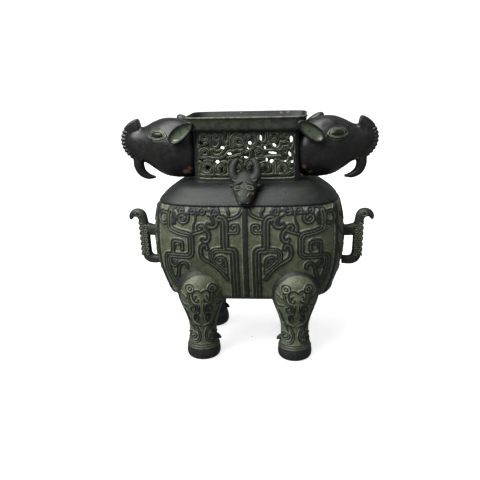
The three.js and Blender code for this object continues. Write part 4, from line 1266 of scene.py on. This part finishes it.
BARE_METAL = (0.42, 0.25, 0.16)
PATINA = {
    "dark": (0.007, 0.009, 0.009), "dark_light": (0.018, 0.021, 0.019), "dark_warm": (0.015, 0.017, 0.014),
    "green": (0.078, 0.096, 0.052), "green_light": (0.145, 0.172, 0.100),
    "green_dark": (0.036, 0.045, 0.030), "edge": (0.27, 0.31, 0.20), "speck": (0.075, 0.085, 0.062),
    "rough": (0.40, 0.60), "metal": 0.1, "bump": 0.6,
}
CHARCOAL = {
    "dark": (0.010, 0.011, 0.011), "dark_light": (0.028, 0.029, 0.028), "dark_warm": (0.018, 0.018, 0.016),
    "green": (0.16, 0.19, 0.125), "speck": (0.075, 0.075, 0.066), "rough": (0.25, 0.40), "metal": 0.2,
    "bump": 0.32,
}
HORNED = {
    **CHARCOAL, "dark": (0.004, 0.005, 0.004), "dark_light": (0.011, 0.014, 0.012),
    "dark_warm": (0.009, 0.012, 0.008), "green": (0.11, 0.14, 0.09), "rough": (0.5, 0.7), "metal": 0.0,
    "bump": 0.6,
}
patina = bronze("patinated_bronze", False, PATINA)
charcoal = bronze("dark_bronze", True, CHARCOAL)
horned = bronze("horned_bronze", True, HORNED)
scrolled = bronze("scrolled_bronze", True, {**CHARCOAL, "rough": (0.42, 0.6)})


def place(obj, material, node):
    obj.data.materials.append(material)
    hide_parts(node)
    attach(obj, "root")


def place_sides(make, name, material, node):
    """Adds a form made for the right side there, and mirrored on the left."""
    points, faces, marks = make()
    place(add_mesh(f"{name}_right", points, faces, marks), material, f"right_{node}")
    mirrored = [f[:, ::-1] for f in faces]
    place(add_mesh(f"{name}_left", points * [-1, 1, 1], mirrored, marks), material, f"left_{node}")


# Assembly
# Columns of a belly half's face and of each end, step of its rows
front_grid, back_grid = (((300, 48, 0.76), (200, 40, 1.1)))
place(make_belly("vessel_belly_front", -1, *front_grid, True), patina, "vessel")
place(make_belly("vessel_belly_back", 1, *back_grid, False), patina, "vessel")
place(make_neck(), patina, "vessel")
for end, word in ((-1, "front"), (1, "back")):
    leg_grid = (250, 0.66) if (end < 0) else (120, 1.4)
    for side, hand in ((-1, "left"), (1, "right")):
        leg = make_leg(f"vessel_leg_{word}_{hand}", side, end, *leg_grid)
        place(leg, patina, "vessel")
place_sides(make_head, "beast_head", charcoal, "head")
place_sides(make_handle, "bird_handle", scrolled, "handle")
ox_points, ox_faces, ox_marks = make_ox()
for turn, word in ((1, "front"), (-1, "back")):
    ox = add_mesh(f"ox_head_{word}", ox_points * [turn, turn, 1], ox_faces, ox_marks)
    place(ox, horned, f"{word}_ox_head")


# Floor, light, camera
def make_floor():
    """A plain pale floor that curves up all round, far from the object. It throws no light back."""
    ring, metre = 96, 1000
    profile = [(0.001, 0), (1.5, 0), (4, 0), (6, 0.0), (7, 0.25), (8, 0.9), (10, 2.9), (13, 6.0)]
    t = circle(ring)
    rings = [np.stack([r * np.cos(t), r * np.sin(t), np.full(ring, z)], 1) for r, z in profile]
    points = np.concatenate(rings) * metre
    floor = add_mesh("floor", points, [grid_quads(len(profile), ring, wrap=True)])
    material = bpy.data.materials.new("floor_white")
    material.use_nodes = True
    shader = material.node_tree.nodes["Principled BSDF"]
    shader.inputs["Base Color"].default_value = (0.5, 0.5, 0.5, 1)
    shader.inputs["Emission Color"].default_value = (1, 1, 1, 1)
    shader.inputs["Emission Strength"].default_value = 0.72
    shader.inputs["Roughness"].default_value = 1.0
    shader.inputs["Specular IOR Level"].default_value = 0.0
    floor.data.materials.append(material)
    floor.visible_diffuse = False
    floor.visible_glossy = False
    floor.visible_shadow = False


make_floor()


def add_light(name, kind, place_at, target, energy):
    light = bpy.data.lights.new(name, kind)
    light.energy = energy
    obj = bpy.data.objects.new(name, light)
    obj.location = place_at
    obj.rotation_euler = (Vector(target) - Vector(place_at)).to_track_quat("-Z", "Y").to_euler()
    bpy.context.scene.collection.objects.link(obj)
    return obj


def softbox(name, place_at, target, size, power):
    obj = add_light(name, "AREA", place_at, target, power)
    obj.data.shape = "RECTANGLE"
    obj.data.size, obj.data.size_y = size
    return obj


sky = add_light("sky", "SUN", (-0.9, -0.9, 1.5), (0, 0, 0), 3.75)
sky.data.angle = math.radians(50)
softbox("key", (-1.1, -1.2, 1.7), (0, 0, 0.15), (1.0, 0.7), 12)
softbox("top", (-0.2, 0.1, 1.5), (-0.05, 0, 0.2), (0.9, 0.4), 8)
fill = softbox("fill", (0.5, 1.9, 0.7), (0, 0, 0.15), (1.2, 0.9), 24)
fill.visible_glossy = False
world = bpy.data.worlds.new("studio")
world.use_nodes = True
world.node_tree.nodes["Background"].inputs["Color"].default_value = (1, 1, 1, 1)
world.node_tree.nodes["Background"].inputs["Strength"].default_value = 0.2
bpy.context.scene.world = world
bpy.context.scene.view_settings.view_transform = "Standard"

# Camera fitted to the photo, with no shift
azimuth, aim, pitch, roll = (math.radians(a) for a in (4.56, 0.97, 16.45, 1.47))
distance, height = 0.760, 0.3608
camera_data = bpy.data.cameras.new("camera")
camera_data.lens = 46.17
camera = bpy.data.objects.new("camera", camera_data)
bpy.context.scene.collection.objects.link(camera)
turned = azimuth + aim
level = Vector((-math.sin(turned), math.cos(turned), 0))
right = Vector((math.cos(turned), math.sin(turned), 0))
ahead = level * math.cos(pitch) - Vector((0, 0, math.sin(pitch)))
up = level * math.sin(pitch) + Vector((0, 0, math.cos(pitch)))
right_r = right * math.cos(roll) - up * math.sin(roll)
up_r = right * math.sin(roll) + up * math.cos(roll)
camera.matrix_world = Matrix((
    (right_r.x, up_r.x, -ahead.x, distance * math.sin(azimuth)),
    (right_r.y, up_r.y, -ahead.y, -distance * math.cos(azimuth)),
    (right_r.z, up_r.z, -ahead.z, height),
    (0, 0, 0, 1),
))
bpy.context.scene.camera = camera
